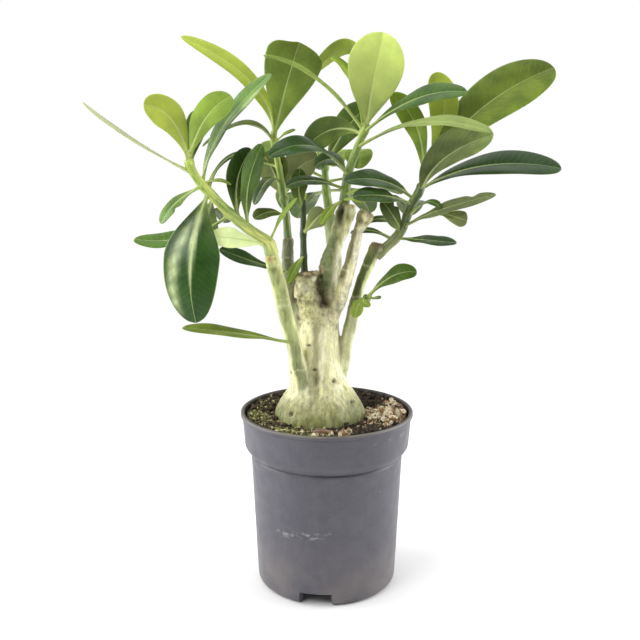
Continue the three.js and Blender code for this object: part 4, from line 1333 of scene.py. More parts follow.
@dataclass
class Soil:
    """Peat up to just under the lip, with moss at the front left and a heap of tan grit on the right."""

    level: float = 119.5
    relief: float = 0.8
    bank: float = 2.6
    radius: float = 55.4
    wall_profile: tuple[Pair, ...] = ((55.4, 102.9), (51.2, 95.6), (47.2, 13.0), (46.0, 11.6))
    rises: tuple[Spot, ...] = (Spot(41, -10, 3.8, 13), Spot(-42, -18, 1.6, 15))
    mossy: tuple[Spot, ...] = (
        Spot(-46, -10, 1.0, 14), Spot(-30, -38, 0.9, 13), Spot(-8, -44, 0.7, 14),
        Spot(-50, 22, 0.55, 14), Spot(-20, 46, 0.25, 16),
    )
    gritty: tuple[Spot, ...] = (
        Spot(37, -10, 1.0, 12), Spot(48, -14, 0.9, 11), Spot(52, 14, 0.85, 11), Spot(6, -44, 0.35, 12),
    )
    trunk_middle: Pair = (-5, 0)
    trunk_radius: float = 29
    grid: int = 190
    fibre_count: int = 34
    fibre_colour: Colour = (0.42, 0.36, 0.20)
    chip: tuple[Place, ...] = ((-9, -42, 120.6), (-4, -43, 122.6), (1.5, -42.5, 120.8))
    chip_colours: Colours = ((0.17, 0.10, 0.065), (0.28, 0.19, 0.13))
    chance: Random = field(default_factory=lambda: Random(11))

    def height(self, x: Array, y: Array) -> Array:
        """Height of the soil's top, without its crumbs."""
        waves = np.sin(0.31 * x + 1.1) * np.cos(0.37 * y) + 0.7 * np.sin(0.62 * y - 0.45 * x)
        bank = self.bank * smooth_step(32, 53, np.hypot(x, y)) * (0.3 + 0.7 * smooth_step(-36, 0, y))
        return self.level + self.relief * waves + sum(spot.at(x, y) for spot in self.rises) + bank

    def crumbly(self, x: Array, y: Array) -> Array:
        """Height of the crumbs on the soil's top."""
        flat = np.stack([x, y, 0 * x], axis=1)
        lumps = np.abs(rough(flat, 6.0, 3.1)) * 2.2 + np.abs(rough(flat, 2.6, 8.2)) * 1.5
        return lumps + rough(flat, 1.1, 5.0, 2) * 0.35 - 1.2

    def cover(self, x: Array, y: Array) -> Array:
        """How much moss and how much tan grit covers each place."""
        moss, grit = (sum(spot.at(x, y) for spot in spots) for spots in (self.mossy, self.gritty))
        return np.stack([np.clip(moss, 0, 1), np.clip(grit, 0, 1), 0 * x], axis=1)

    def build(self) -> list[Piece]:
        """Makes the bed of peat, what lies loose on it, and the litter."""
        return [
            self.bed(),
            self.scatter("soil_crumbs", 620, (0.7, 2.4), 1, Drawn.BY_PEAT, 0.60),
            self.scatter("soil_grit", 270, (0.7, 3.0), 2, Drawn.BY_GRIT, 0.95),
            self.scatter("soil_moss", 620, (0.3, 1.4), 1, Drawn.BY_MOSS, 0.95),
            self.litter(),
        ]

    def bed(self) -> Piece:
        """The peat itself: a round top of fine crumbs, closed down the pot's inside."""
        steps = {"x_subdivisions": self.grid, "y_subdivisions": self.grid}
        bed = added("soil_bed", bpy.ops.mesh.primitive_grid_add, size=2, **steps)
        x, y, _ = places_of(bed).T
        disc_x = x * np.sqrt(1 - y**2 / 2) * self.radius
        disc_y = y * np.sqrt(1 - x**2 / 2) * self.radius
        top = self.height(disc_x, disc_y) + self.crumbly(disc_x, disc_y)
        put_places(bed, np.stack([disc_x, disc_y, top], axis=1) * MM)
        self.close(bed)
        x, y, _ = (places_of(bed) / MM).T
        put_attribute(bed, "cover", self.cover(x, y))
        choose(bed)
        bpy.ops.object.shade_smooth()
        return bed

    def close(self, bed: Piece) -> None:
        """Draws the edge of the top down along the pot's wall and fills it at the floor."""
        choose(bed)
        bpy.ops.object.mode_set(mode="EDIT")
        bpy.ops.mesh.select_mode(type="EDGE")
        bpy.ops.mesh.select_all(action="DESELECT")
        bpy.ops.mesh.select_non_manifold(extend=False)
        radius, height = self.radius, self.level
        for number, (next_radius, next_height) in enumerate(self.wall_profile):
            down = (0, 0, (next_height - height) * MM)
            bpy.ops.mesh.extrude_region_move(TRANSFORM_OT_translate={"value": down})
            share = next_radius / radius
            bpy.ops.transform.resize(value=(share, share, 1), center_override=(0, 0, 0))
            if number == 0:  # The crumbly edge becomes a level ring.
                bpy.ops.transform.resize(value=(1, 1, 0), center_override=(0, 0, next_height * MM))
            radius, height = next_radius, next_height
        bpy.ops.mesh.edge_face_add()
        bpy.ops.mesh.select_all(action="SELECT")
        bpy.ops.mesh.normals_make_consistent(inside=False)
        bpy.ops.object.mode_set(mode="OBJECT")

    def scatter(
        self, name: str, count: int, sizes: Pair, faces: int, drawn: Drawn, limit: float
    ) -> Piece:
        """Strews small lumps over the soil.

        Args:
            name: Name of the piece.
            count: How many lumps.
            sizes: Smallest and largest radius.
            faces: Subdivisions of each lump's ball.
            drawn: What draws them.
            limit: The cover at which all of them stay, or the most that lumps on bare peat bear.

        Returns:
            All the lumps as one piece.
        """
        ball = added("lump_ball", bpy.ops.mesh.primitive_ico_sphere_add, subdivisions=faces)
        lumps = []
        while len(lumps) < count:
            turn, out = self.chance.uniform(0, 2 * math.pi), math.sqrt(self.chance.random())
            x, y = (self.radius - 1.5) * out * math.cos(turn), (self.radius - 1.5) * out * math.sin(turn)
            if math.hypot(x - self.trunk_middle[0], y - self.trunk_middle[1]) < self.trunk_radius:
                continue
            cover = self.cover(np.array([x]), np.array([y]))[0]
            if drawn is Drawn.BY_PEAT:
                stays = cover.max() <= limit
            else:
                stays = cover[drawn.value] >= limit * self.chance.random()
            if stays:
                lumps.append(self.lump(ball, x, y, sizes))
        bpy.data.objects.remove(ball)
        return joined(name, lumps)

    def lump(self, ball: Piece, x: float, y: float, sizes: Pair) -> Piece:
        """One lump: a squashed, dented ball that lies in the soil's top."""
        form = places_of(ball)
        size = sizes[0] + (sizes[1] - sizes[0]) * self.chance.random() ** 2.2
        squash = np.array([self.chance.uniform(0.55, 1.35) for _ in range(3)])
        dents = np.array([self.chance.uniform(0.66, 1.18) for _ in form])[:, None]
        places = Pot.rotated(form * dents * squash * size, self.chance.uniform(0, math.pi))
        at_x, at_y = np.array([x]), np.array([y])
        ground = self.height(at_x, at_y)[0] + self.crumbly(at_x, at_y)[0]
        piece = copied("lump", ball)
        put_places(piece, (places + np.array((x, y, ground + 0.25 * size))) * MM)
        return piece

    def litter(self) -> Piece:
        """A few pale fibres and a chip of bark at the front."""
        shaper = StemShaper(Blank(8, 16))
        pieces = [self.fibre(shaper) for _ in range(self.fibre_count)]
        pieces.append(shaper.shape("chip", self.chip, (2.4, 1.6), self.chip_colours))
        shaper.blank.discard()
        return joined("soil_litter", pieces)

    def fibre(self, shaper: StemShaper) -> Piece:
        """One short bent fibre that lies on the soil's front half."""
        around, out = self.chance.uniform(math.pi * 1.05, math.pi * 1.95), self.chance.uniform(34, 51)
        x, y = out * math.cos(around), out * math.sin(around)
        turn, length = self.chance.uniform(0, 2 * math.pi), self.chance.uniform(2.5, 7)
        ground = self.height(np.array([x]), np.array([y]))[0] + 0.5
        steps = []
        for share in (0, 0.35, 0.7, 1):
            bend, reach = turn + 0.8 * share, length * share
            lift = self.chance.uniform(0, 1.2) * share
            steps.append((x + reach * math.cos(bend), y + reach * math.sin(bend), ground + lift))
        return shaper.shape("fibre", tuple(steps), (0.28, 0.16), (self.fibre_colour, self.fibre_colour))

    def dress(self, pieces: list[Piece]) -> None:
        """Gives each piece of the soil its finish and its place on the body."""
        finishes = (
            Peat(),
            Crumb("peat_crumb", (0.012, 0.008, 0.005), (0.075, 0.044, 0.022)),
            Crumb("tan_grit", (0.21, 0.115, 0.045), (0.82, 0.75, 0.55)),
            Crumb("moss", (0.065, 0.07, 0.018), (0.58, 0.55, 0.25)),
            GreenStem((1.3, 1.2, 1.0), (0.6, 0.5, 0.4)),
        )
        for piece, finish in zip(pieces, finishes):
            hand_over(piece, finish.build(), "soil")


@dataclass(frozen=True)
class PaintedShadingBand:
    """A band of painted light and shade down one side of a limb: dark ones paint shade, cream ones a
    highlight.

    Args:
        colour: Its colour.
        turn: Which way it faces, in degrees from -Y towards +X.
        half_width: Half its width, in degrees.
        start: Share of the limb's length where it begins.
        end: Share of the limb's length where it ends.
    """

    colour: Colour
    turn: float
    half_width: float
    start: float
    end: float


@dataclass(frozen=True)
class Limb:
    """A woody branch.

    Args:
        route: Places that it passes through.
        radius: Its radius at its foot and at its end.
        colours: Its colour at its foot and at its end.
        painted_shading_bands: Bands of painted shade and painted highlight down its sides.
        rings: Shares of its length where an old leaf scar runs round it as a pale ring.
        lumps: How far its skin swells and sinks.
        swells: Where it is thicker: share of its length, extra radius and spread.
        pruned: Whether its end is a cut face, or runs on into a green shoot.
    """

    route: tuple[Place, ...]
    radius: Pair
    colours: Colours
    painted_shading_bands: tuple[PaintedShadingBand, ...] = ()
    rings: tuple[float, ...] = ()
    lumps: float = 0.0
    pruned: bool = True
    swells: tuple[Swell, ...] = ()


@dataclass(frozen=True)
class Scar:
    """A mark in the bark: where it is, how wide, how deep, its colour, and how far it reads upwards."""

    place: Place
    size: float
    depth: float
    colour: Colour
    tall: float = 1.0


@dataclass
class Trunk:
    """The woody base: swollen caudex, trunk, cut knob and branches, grown as one piece."""

    middle: Pair = (-5, 0)
    profile: tuple[Pair, ...] = (
        (0, 88), (9, 88), (17, 96), (26, 106), (31, 114), (31.5, 122), (29.5, 128), (26.5, 133),
        (23, 138), (19.5, 143), (16.8, 149), (15, 156), (13.8, 165), (13.3, 178), (12.4, 190),
        (10, 198), (0, 198),
    )
    flutes: tuple[tuple[int, float, float], ...] = ((3, 0.025, 0.6), (7, 0.022, 1.9))
    voxel: float = 0.72
    skin_steps: int = 120
    cream: Colour = (0.92, 0.88, 0.6)
    mid: Colour = (0.76, 0.73, 0.42)
    foot: Colour = (0.33, 0.34, 0.125)
    damp: Colour = (0.15, 0.185, 0.05)
    cut_dark: Colour = (0.17, 0.1, 0.04)
    cut_dry: Colour = (0.58, 0.48, 0.28)
    cut_hollow: Colour = (0.035, 0.022, 0.012)
    # Painted shade: a dark olive band down the front of the column.
    column_painted_shade: PaintedShadingBand = PaintedShadingBand((0.36, 0.335, 0.17), -11, 11, 134, 190)
    # The bands in these limbs are painted shade where dark and painted highlight where cream.
    limbs: tuple[Limb, ...] = (
        Limb(
            ((-13, -8, 116), (-15, -10, 132), (-17, -13, 149), (-20, -14.5, 163), (-23, -15.5, 177),
             (-26.3, -17.5, 191), (-29.5, -20, 205), (-32.2, -24, 219), (-35, -28, 231),
             (-36, -29, 239)),
            (5.6, 4.7),
            ((0.74, 0.72, 0.46), (0.58, 0.62, 0.25)),
            (PaintedShadingBand((0.19, 0.225, 0.085), 4, 46, 0.08, 0.52),
             PaintedShadingBand((0.38, 0.43, 0.16), 2, 46, 0.5, 0.93)),
            (0.33, 0.7, 0.735, 0.93),
            pruned=False,
        ),
        Limb(
            ((-15, -6, 122), (-18, -8, 136), (-20, -9, 150), (-21, -10, 162), (-21.5, -11, 171)),
            (8, 4.2),
            ((0.78, 0.74, 0.48), (0.72, 0.7, 0.44)),
            pruned=False,
        ),
        Limb(
            ((-11, 3, 168), (-17, 5, 186), (-22, 8, 200), (-25.6, 13, 213), (-27, 17, 226), (-27, 22, 242)),
            (5.4, 3.8),
            ((0.34, 0.34, 0.2), (0.17, 0.19, 0.095)),
            rings=(0.55, 0.8),
            lumps=0.35,
        ),
        Limb(
            ((-6.5, 0, 188), (-9, -3, 198), (-12.5, -5, 209), (-13, -4, 221.5)),
            (11, 6.8),
            ((0.64, 0.61, 0.33), (0.53, 0.5, 0.23)),
            (PaintedShadingBand((0.125, 0.108, 0.052), 66, 40, 0.22, 1.1),),
            lumps=2.1,
        ),
        Limb(
            ((-13, -5, 207), (-19, -8.5, 209), (-22, -9.5, 209.5)),
            (6, 3.4),
            ((0.82, 0.78, 0.54), (0.84, 0.8, 0.56)),
            lumps=1.3,
            pruned=False,
        ),
        Limb(
            ((-3, 1, 186), (1.5, 2, 202), (1, 3, 218), (2, 3.5, 228), (4.9, 4.5, 237), (7.4, 5.5, 245),
             (9.3, 6, 250), (11.4, 6, 256.5), (13.2, 6, 262), (14.3, 6, 267)),
            (6.5, 5.0),
            ((0.54, 0.55, 0.31), (0.76, 0.74, 0.4)),
            (PaintedShadingBand((0.95, 0.93, 0.74), 62, 34, 0.1, 0.8),
             PaintedShadingBand((0.165, 0.215, 0.075), -38, 52, 0.28, 0.74),
             PaintedShadingBand((0.11, 0.11, 0.035), -52, 46, 0.8, 1.1)),
            (0.45, 0.765, 0.6),
            0.6,
            swells=((0.45, 0.9, 3.5), (0.765, 1.0, 2.0), (0.9, 1.5, 6.0)),
        ),
        Limb(
            ((-1, -5, 189), (3, -8, 194), (5, -9, 197)),
            (6, 4.4),
            ((0.74, 0.69, 0.46), (0.66, 0.58, 0.38)),
            lumps=1.3,
            pruned=False,
        ),
        Limb(
            ((-1, -2, 180), (4.8, -5, 194), (9.2, -7, 204), (12.2, -8, 216.5), (14.4, -8, 224),
             (16.4, -8, 231.4), (18, -8, 238.7), (19.6, -8, 246.3), (22.2, -8, 253), (24.8, -8, 259),
             (27.2, -8, 263)),
            (5.2, 3.0),
            ((0.7, 0.67, 0.38), (0.62, 0.59, 0.29)),
            (PaintedShadingBand((0.94, 0.91, 0.66), 24, 30, 0.22, 0.9),
             PaintedShadingBand((0.095, 0.088, 0.028), -56, 44, 0.42, 1.1)),
            (0.27, 0.34, 0.52, 0.84),
            0.6,
            swells=((0.46, 0.5, 5.0), (0.95, 2.1, 5.5)),
        ),
        Limb(
            ((5, 3, 128), (8, 1, 142), (11.5, -1, 157), (13.5, -2, 173), (16.8, -1.5, 188),
             (19.8, -0.8, 202), (22.4, 0, 211.4), (25.2, 0, 219.4), (28.4, 0, 226.9), (31.8, 0, 234.4),
             (34.6, 0, 241.5)),
            (4.7, 3.8),
            ((0.76, 0.78, 0.48), (0.33, 0.36, 0.11)),
            (PaintedShadingBand((0.048, 0.085, 0.01), -26, 54, 0.62, 0.95),
             PaintedShadingBand((0.62, 0.66, 0.32), 50, 30, 0.6, 0.97),
             PaintedShadingBand((0.26, 0.26, 0.12), -72, 40, 0.22, 0.6),
             PaintedShadingBand((0.13, 0.08, 0.04), -10, 90, 0.96, 1.1)),
            (0.44, 0.66, 0.85),
            0.35,
            swells=((0.7, -0.6, 9.0), (0.95, 0.6, 4.0)),
        ),
        Limb(
            ((-4, 4, 156), (0, 18, 180), (4, 32, 208), (5, 42, 234), (2, 48, 256)),
            (8, 4.6),
            ((0.58, 0.56, 0.34), (0.24, 0.3, 0.12)),
            rings=(0.6, 0.8),
        ),
    )
    scars: tuple[Scar, ...] = (
        Scar((-12.2, -12.1, 172.5), 1.3, 1.3, (0.09, 0.075, 0.035), 0.7),
        Scar((-8.3, -14.5, 156.1), 1.5, 1.3, (0.1, 0.09, 0.045), 0.6),
        Scar((-7.3, -16.4, 149.2), 1.7, 1.1, (0.16, 0.16, 0.08), 3.6),
        Scar((4.4, -13.9, 147.8), 1.5, 1.4, (0.09, 0.055, 0.025)),
        Scar((7.6, -13.6, 147.0), 1.5, 0.4, (0.42, 0.26, 0.11)),
        Scar((17.2, -14, 133.4), 1.7, 1.2, (0.07, 0.08, 0.03), 0.6),
        Scar((-24, -23.9, 127.8), 1.4, 1.5, (0.06, 0.045, 0.02)),
        Scar((-24.3, -13.5, 154), 0.9, 0.7, (0.1, 0.095, 0.05)),
        Scar((-36.9, -32.8, 233.9), 1.7, 0.4, (0.36, 0.17, 0.075)),
        Scar((-33.5, -32.9, 234.3), 0.9, 0.4, (0.3, 0.17, 0.07)),
        Scar((-34.1, -31.6, 226.6), 2.1, 0.3, (0.24, 0.27, 0.085)),
        Scar((-29.8, -24.1, 202), 2.0, -0.25, (0.66, 0.68, 0.34)),
        Scar((-5.4, -7.6, 214.7), 1.2, 1.4, (0.025, 0.018, 0.01)),
        Scar((-4.2, -1.5, 218.2), 1.3, 1.5, (0.02, 0.015, 0.01)),
        # Painted shade in the recess between the knob and the branches to its right, over shallow dents.
        Scar((-3.4, -7.4, 208.5), 4.2, 1.3, (0.1, 0.082, 0.04), 2.1),
        Scar((-0.6, -7.4, 201.5), 3.0, 1.3, (0.05, 0.035, 0.018), 1.3),
        # Painted shade under the knob's left stub, and where it falls on the limb behind.
        Scar((-19.0, -9.5, 202.8), 2.8, 1.3, (0.1, 0.07, 0.035), 0.7),
        Scar((-21.2, 3.8, 202.2), 3.0, 0.4, (0.12, 0.09, 0.045)),
        Scar((-9.3, -13.2, 212), 1.3, 0.5, (0.4, 0.4, 0.22)),
        Scar((-15, -12.6, 216.5), 1.6, 0.6, (0.36, 0.36, 0.19)),
        Scar((-9.5, -12.3, 217.5), 2.2, -1.1, (0.8, 0.76, 0.54)),
        Scar((-13.5, -13.2, 211.5), 2.4, -1.0, (0.84, 0.8, 0.58)),
        Scar((-18.0, -12.0, 213.5), 2.2, -0.9, (0.88, 0.84, 0.6)),
        Scar((-16.5, -12.5, 207.0), 1.6, 0.9, (0.3, 0.26, 0.14)),
        Scar((-7.5, -13.0, 205.5), 2.2, 0.8, (0.36, 0.34, 0.2)),
        Scar((9.0, -11.3, 219.3), 1.1, 0.8, (0.07, 0.06, 0.03), 0.7),
        Scar((9.9, 0.6, 261), 1.7, 1.8, (0.022, 0.018, 0.01), 3.4),
        Scar((13.5, -0.2, 258), 1.6, 0.5, (0.3, 0.24, 0.12), 1.8),
        Scar((16.5, 1.2, 262), 1.8, -0.7, (0.86, 0.8, 0.6), 1.4),
        Scar((26.5, -12.8, 259.5), 1.9, -0.9, (0.74, 0.62, 0.44)),
        Scar((22.5, -12.0, 257), 1.6, 0.8, (0.1, 0.075, 0.04), 1.6),
        Scar((25.5, -12.4, 255.0), 1.4, 0.6, (0.22, 0.16, 0.09)),
        Scar((30.0, -10.5, 261.5), 1.7, -0.9, (0.8, 0.7, 0.52)),
        Scar((32.5, -3.8, 240.5), 1.7, -0.8, (0.11, 0.055, 0.03)),
        Scar((35.5, -3.6, 239.0), 1.5, -0.7, (0.16, 0.1, 0.05)),
        Scar((34.0, -4.0, 236.0), 1.6, 0.7, (0.045, 0.05, 0.022), 1.5),
        Scar((36.6, -2.6, 235.5), 2.6, -1.2, (0.48, 0.47, 0.26)),
        Scar((-17.5, -9.6, 220.4), 2.2, 0.5, (0.045, 0.026, 0.012), 0.55),
        Scar((-13.0, -10.6, 219.6), 2.4, 0.7, (0.075, 0.03, 0.014), 0.6),
        Scar((-9.0, -9.8, 220.6), 2.0, 0.4, (0.06, 0.034, 0.016), 0.55),
        Scar((10.6, -12.2, 206.7), 1.2, -0.4, (0.84, 0.8, 0.62)),
        Scar((12.6, -12.2, 206.0), 1.0, 0.5, (0.26, 0.19, 0.11)),
        Scar((8.6, -12.6, 196.0), 1.5, 0.6, (0.34, 0.25, 0.13), 0.7),
        Scar((3.5, -12.8, 195.5), 1.2, 0.5, (0.44, 0.35, 0.2)),
        Scar((-24, 14.2, 237), 2.0, 1.2, (0.05, 0.035, 0.02), 2.2),
        Scar((6.8, -7, 184.3), 1.6, -0.5, (0.16, 0.22, 0.07), 1.4),
        Scar((-31, 8, 128), 1.8, 1.1, (0.07, 0.06, 0.03)),
        Scar((18, 18, 132), 2.2, 1.0, (0.1, 0.08, 0.04), 0.7),
        Scar((-8, 16, 158), 2.0, 1.2, (0.12, 0.1, 0.05)),
        Scar((2, 15, 146), 2.6, 0.9, (0.24, 0.15, 0.06)),
    )

    def build(self) -> Piece:
        """Grows the limbs out of the caudex, merges them into one skin and works its bark."""
        shaper = StemShaper(Blank(40, 72))
        pieces = [self.caudex()]
        for limb in self.limbs:
            form = {"blunt": limb.pruned, "swells": limb.swells}
            pieces.append(shaper.shape("limb", limb.route, limb.radius, limb.colours, **form))
        shaper.blank.discard()
        trunk = joined("trunk_bark", pieces)
        apply_modifier(trunk, "REMESH", mode="VOXEL", voxel_size=self.voxel * MM)
        apply_modifier(trunk, "SMOOTH", factor=0.5, iterations=7)
        self.work_bark(trunk)
        choose(trunk)
        bpy.ops.object.shade_smooth()
        return trunk

    def caudex(self) -> Piece:
        """The fluted swelling and the trunk above it."""
        piece = turned("caudex", self.fine_profile(), 96)
        places = places_of(piece) / MM
        turn = np.arctan2(places[:, 1], places[:, 0])
        swell = np.ones(len(places))
        for count, depth, phase in self.flutes:
            swell += depth * np.cos(count * turn + phase)
        places[:, 0] = places[:, 0] * swell + self.middle[0]
        places[:, 1] = places[:, 1] * swell + self.middle[1]
        put_places(piece, places * MM)
        return piece

    def fine_profile(self) -> list[Pair]:
        """The profile with its corners eased, in short steps."""
        corners = self.profile[1:-1]
        heights = np.array([z for _, z in corners])
        radii = np.array([r for r, _ in corners])
        fine = np.linspace(heights[0], heights[-1], 80)
        eased = np.interp(fine, heights, radii)
        for _ in range(3):
            eased[1:-1] = (eased[:-2] + 2 * eased[1:-1] + eased[2:]) / 4
        body = [(float(r), float(z)) for r, z in zip(eased, fine)]
        return [self.profile[0], *body, self.profile[-1]]

    def work_bark(self, trunk: Piece) -> None:
        """Colours the bark by limb and height, and models its flutes, scars and cut ends."""
        places = places_of(trunk) / MM
        normals = normals_of(trunk)
        tint, lumps = self.zones(places)
        lift = 0.26 * rough(places * np.array([1, 1, 0.16]), 3.0, 4.4) + 0.35 * rough(places, 11, 7.7, 2)
        lift = lift + lumps * (rough(places, 4.6, 3.6, 2) + 0.15)
        for scar in self.scars:
            off = (places - np.array(scar.place)) / np.array([1, 1, scar.tall])
            near = np.linalg.norm(off, axis=1) / scar.size
            rim = 0.32 * abs(scar.depth) * np.exp(-((near - 1.7) ** 2) * 4)
            lift = lift - scar.depth * np.exp(-(near**2)) + rim
            tint = blended(tint, scar.colour, np.exp(-(near**2) * 0.9))
        tint = tint * self.wear_and_hollow_shade(places, lumps)[:, None]
        places = places + normals * lift[:, None]
        for limb in self.limbs:
            if limb.pruned:
                places, tint = self.cut_end(limb, places, tint)
        put_places(trunk, places * MM)
        put_attribute(trunk, "bark_tint", tint)
        speckled = smooth_step(168, 140, places[:, 2]) * smooth_step(118, 126, places[:, 2])
        front = np.exp(-((places[:, 0] + 3) / 17) ** 2)
        put_attribute(trunk, "bark_form", np.stack([speckled * front, 0 * front, 0 * front], axis=1))

    @staticmethod
    def wear_and_hollow_shade(places: Array, lumps: Array) -> Array:
        """How much darker or lighter the bark is: lengthwise streaks, and painted shade in hollows where it
        is lumpy.
        """
        streaks = rough(places * np.array([1, 1, 0.17]), 2.3, 12.3)
        deep = 0.11 + 0.14 * smooth_step(158, 138, places[:, 2])
        shade = 1 - deep * smooth_step(0.05, 0.50, streaks) + 0.10 * smooth_step(-0.05, -0.45, streaks)
        # Painted shade: darker where the same noise sinks the lumpy skin.
        hollow = smooth_step(0.05, -0.40, rough(places, 4.6, 3.6, 2)) * np.minimum(1, lumps)
        spots = smooth_step(0.22, 0.50, rough(places, 1.7, 6.9, 2)) * np.minimum(1, 0.15 + lumps)
        return shade * (1 - 0.30 * hollow) * (1 - 0.26 * spots)

    def zones(self, places: Array) -> tuple[Array, Array]:
        """Colour of the bark at each place before its scars, and how lumpy it is there."""
        height = places[:, 2]
        cloud = smooth_step(-0.35, 0.40, rough(places * np.array([1, 1, 0.25]), 8, 2.2))
        breaks = 16 * rough(places * np.array([1, 1, 0.3]), 4.5, 9.4)
        body = self.body_colour(places, cloud, breaks)
        total = np.full(len(places), 0.02)
        colour = body * total[:, None]
        axis_off = np.hypot(places[:, 0] - self.middle[0], places[:, 1] - self.middle[1])
        heights = [z for _, z in self.profile[1:-1]]
        radii = [r for r, _ in self.profile[1:-1]]
        gap = axis_off - np.interp(height, heights, radii, right=-40)
        weight = np.exp(-np.abs(gap) / 1.3) * (height < 200)
        colour, total = colour + body * weight[:, None], total + weight
        lumps = np.zeros(len(places))
        for limb in self.limbs:
            own, gap, share = self.limb_colour(limb, places, breaks)
            weight = np.exp(-np.abs(gap) / 1.3) * smooth_step(0.02, 0.12, share)
            own = own * (0.84 + 0.28 * cloud)[:, None]
            colour, total = colour + own * weight[:, None], total + weight
            lumps = np.maximum(lumps, limb.lumps * np.exp(-np.abs(gap) / 2.5))
        return colour / total[:, None], lumps

    def body_colour(self, places: Array, cloud: Array, breaks: Array) -> Array:
        """Colour of the caudex and the trunk: cream, greener towards the soil, with painted shade low on
        its flanks and down the front.
        """
        height = places[:, 2]
        low = smooth_step(149, 127, height)
        green = (0.66 + 0.34 * smooth_step(-0.4, 0.3, rough(places, 8, 6.1))) * low
        body = blended(blended(self.mid, self.cream, cloud), self.foot, 0.92 * green)
        # Painted shade: the bulb darker towards its left and right flanks.
        side = np.minimum(np.abs(self.middle[0] - places[:, 0]) / 30, 1)
        body = body * (1 - 0.38 * low * side)[:, None]
        body = blended(body, self.damp, 0.55 * smooth_step(135, 119, height))
        # Painted shade: a dark olive band down the front of the column.
        painted_band = self.column_painted_shade
        turn = np.degrees(np.arctan2(places[:, 0] - self.middle[0], self.middle[1] - places[:, 1]))
        share = self.within(painted_band, turn, 0.5 * breaks)
        share = share * smooth_step(painted_band.start - 9, painted_band.start + 9, height)
        share = share * smooth_step(painted_band.end + 6, painted_band.end - 6, height)
        return blended(body, painted_band.colour, 0.80 * share)

    def limb_colour(self, limb: Limb, places: Array, breaks: Array) -> tuple[Array, Array, Array]:
        """Finds what a limb gives to each place.

        Args:
            limb: The limb.
            places: Places on the bark.
            breaks: How far the edges of the painted bands of light and shade wander there.

        Returns:
            The limb's colour, how far the place is off its skin, and the share of its length.
        """
        count = self.skin_steps
        line, ahead = route_of(limb.route, count)
        apart = ((places[:, None, :] - line[None, :, :]) ** 2).sum(axis=2)
        nearest = apart.argmin(axis=1)
        off = places - line[nearest]
        step = np.linalg.norm(line[1] - line[0])
        share = np.clip((nearest + (off * ahead[nearest]).sum(axis=1) / step) / (count - 1), 0, 1)
        reach = step * (count - 1)
        gap = np.sqrt(apart.min(axis=1)) - thickness(limb.radius, limb.swells, share, reach)
        own = blended(*limb.colours, share)
        turn = np.degrees(np.arctan2(off[:, 0], -off[:, 1]))
        # Painted light and shade: dark bands for a limb's shaded side, cream ones for its lit side.
        for painted_band in limb.painted_shading_bands:
            part = self.within(painted_band, turn, breaks)
            part = part * smooth_step(painted_band.start - 0.07, painted_band.start + 0.07, share)
            part = part * smooth_step(painted_band.end + 0.07, painted_band.end - 0.07, share)
            own = blended(own, painted_band.colour, 0.9 * part)
        for ring in limb.rings:
            around = np.exp(-(((share - ring) * reach - 0.09 * breaks) / 0.6) ** 2)
            around = around * smooth_step(-9, 9, breaks * np.cos(np.radians(3 * turn)))
            own = blended(own, self.cream, 0.5 * around)
        return own, gap, share

    @staticmethod
    def within(painted_band: PaintedShadingBand, turn: Array, breaks: Array) -> Array:
        """1 inside a painted band of light and shade, falling to 0 across its broken edge."""
        apart = np.abs((turn - painted_band.turn + 180) % 360 - 180) + breaks
        return smooth_step(1.35 * painted_band.half_width, 0.6 * painted_band.half_width, apart)

    def cut_end(self, limb: Limb, places: Array, tint: Array) -> tuple[Array, Array]:
        """Models a pruned end: a raised brown rim round a sunken dark middle.

        Args:
            limb: The limb that is pruned.
            places: Places on the bark.
            tint: Colours of the bark.

        Returns:
            The new places and colours.
        """
        line, ahead = route_of(limb.route, self.skin_steps)
        reach = np.linalg.norm(line[1] - line[0]) * (self.skin_steps - 1)
        way, end, radius = ahead[-1], line[-1], thickness(limb.radius, limb.swells, 1.0, reach)
        off = places - end
        depth = off @ way
        out = np.linalg.norm(off - depth[:, None] * way, axis=1)
        ragged = 0.7 * rough(places, 2.6, 5.5, 2)
        near = (out < radius * 1.6) * (depth < 4)
        face = smooth_step(-1.7, -0.4, depth + ragged) * near
        rim = smooth_step(-2.6, -0.9, depth + 1.8 * ragged) * near
        hollow = np.exp(-((out / (0.52 * radius)) ** 2)) * face
        places = places - (1.8 * hollow + 0.5 * face * ragged)[:, None] * way
        cut = blended(self.cut_dark, self.cut_dry, smooth_step(-0.5, 0.5, ragged))
        cut = blended(cut, self.cut_hollow, hollow)
        return places, blended(tint, cut, np.maximum(0.92 * face, 0.62 * rim))

    def dress(self, trunk: Piece) -> None:
        """Gives the trunk its bark and its place on the body."""
        hand_over(trunk, PaleBark().build(), "trunk")


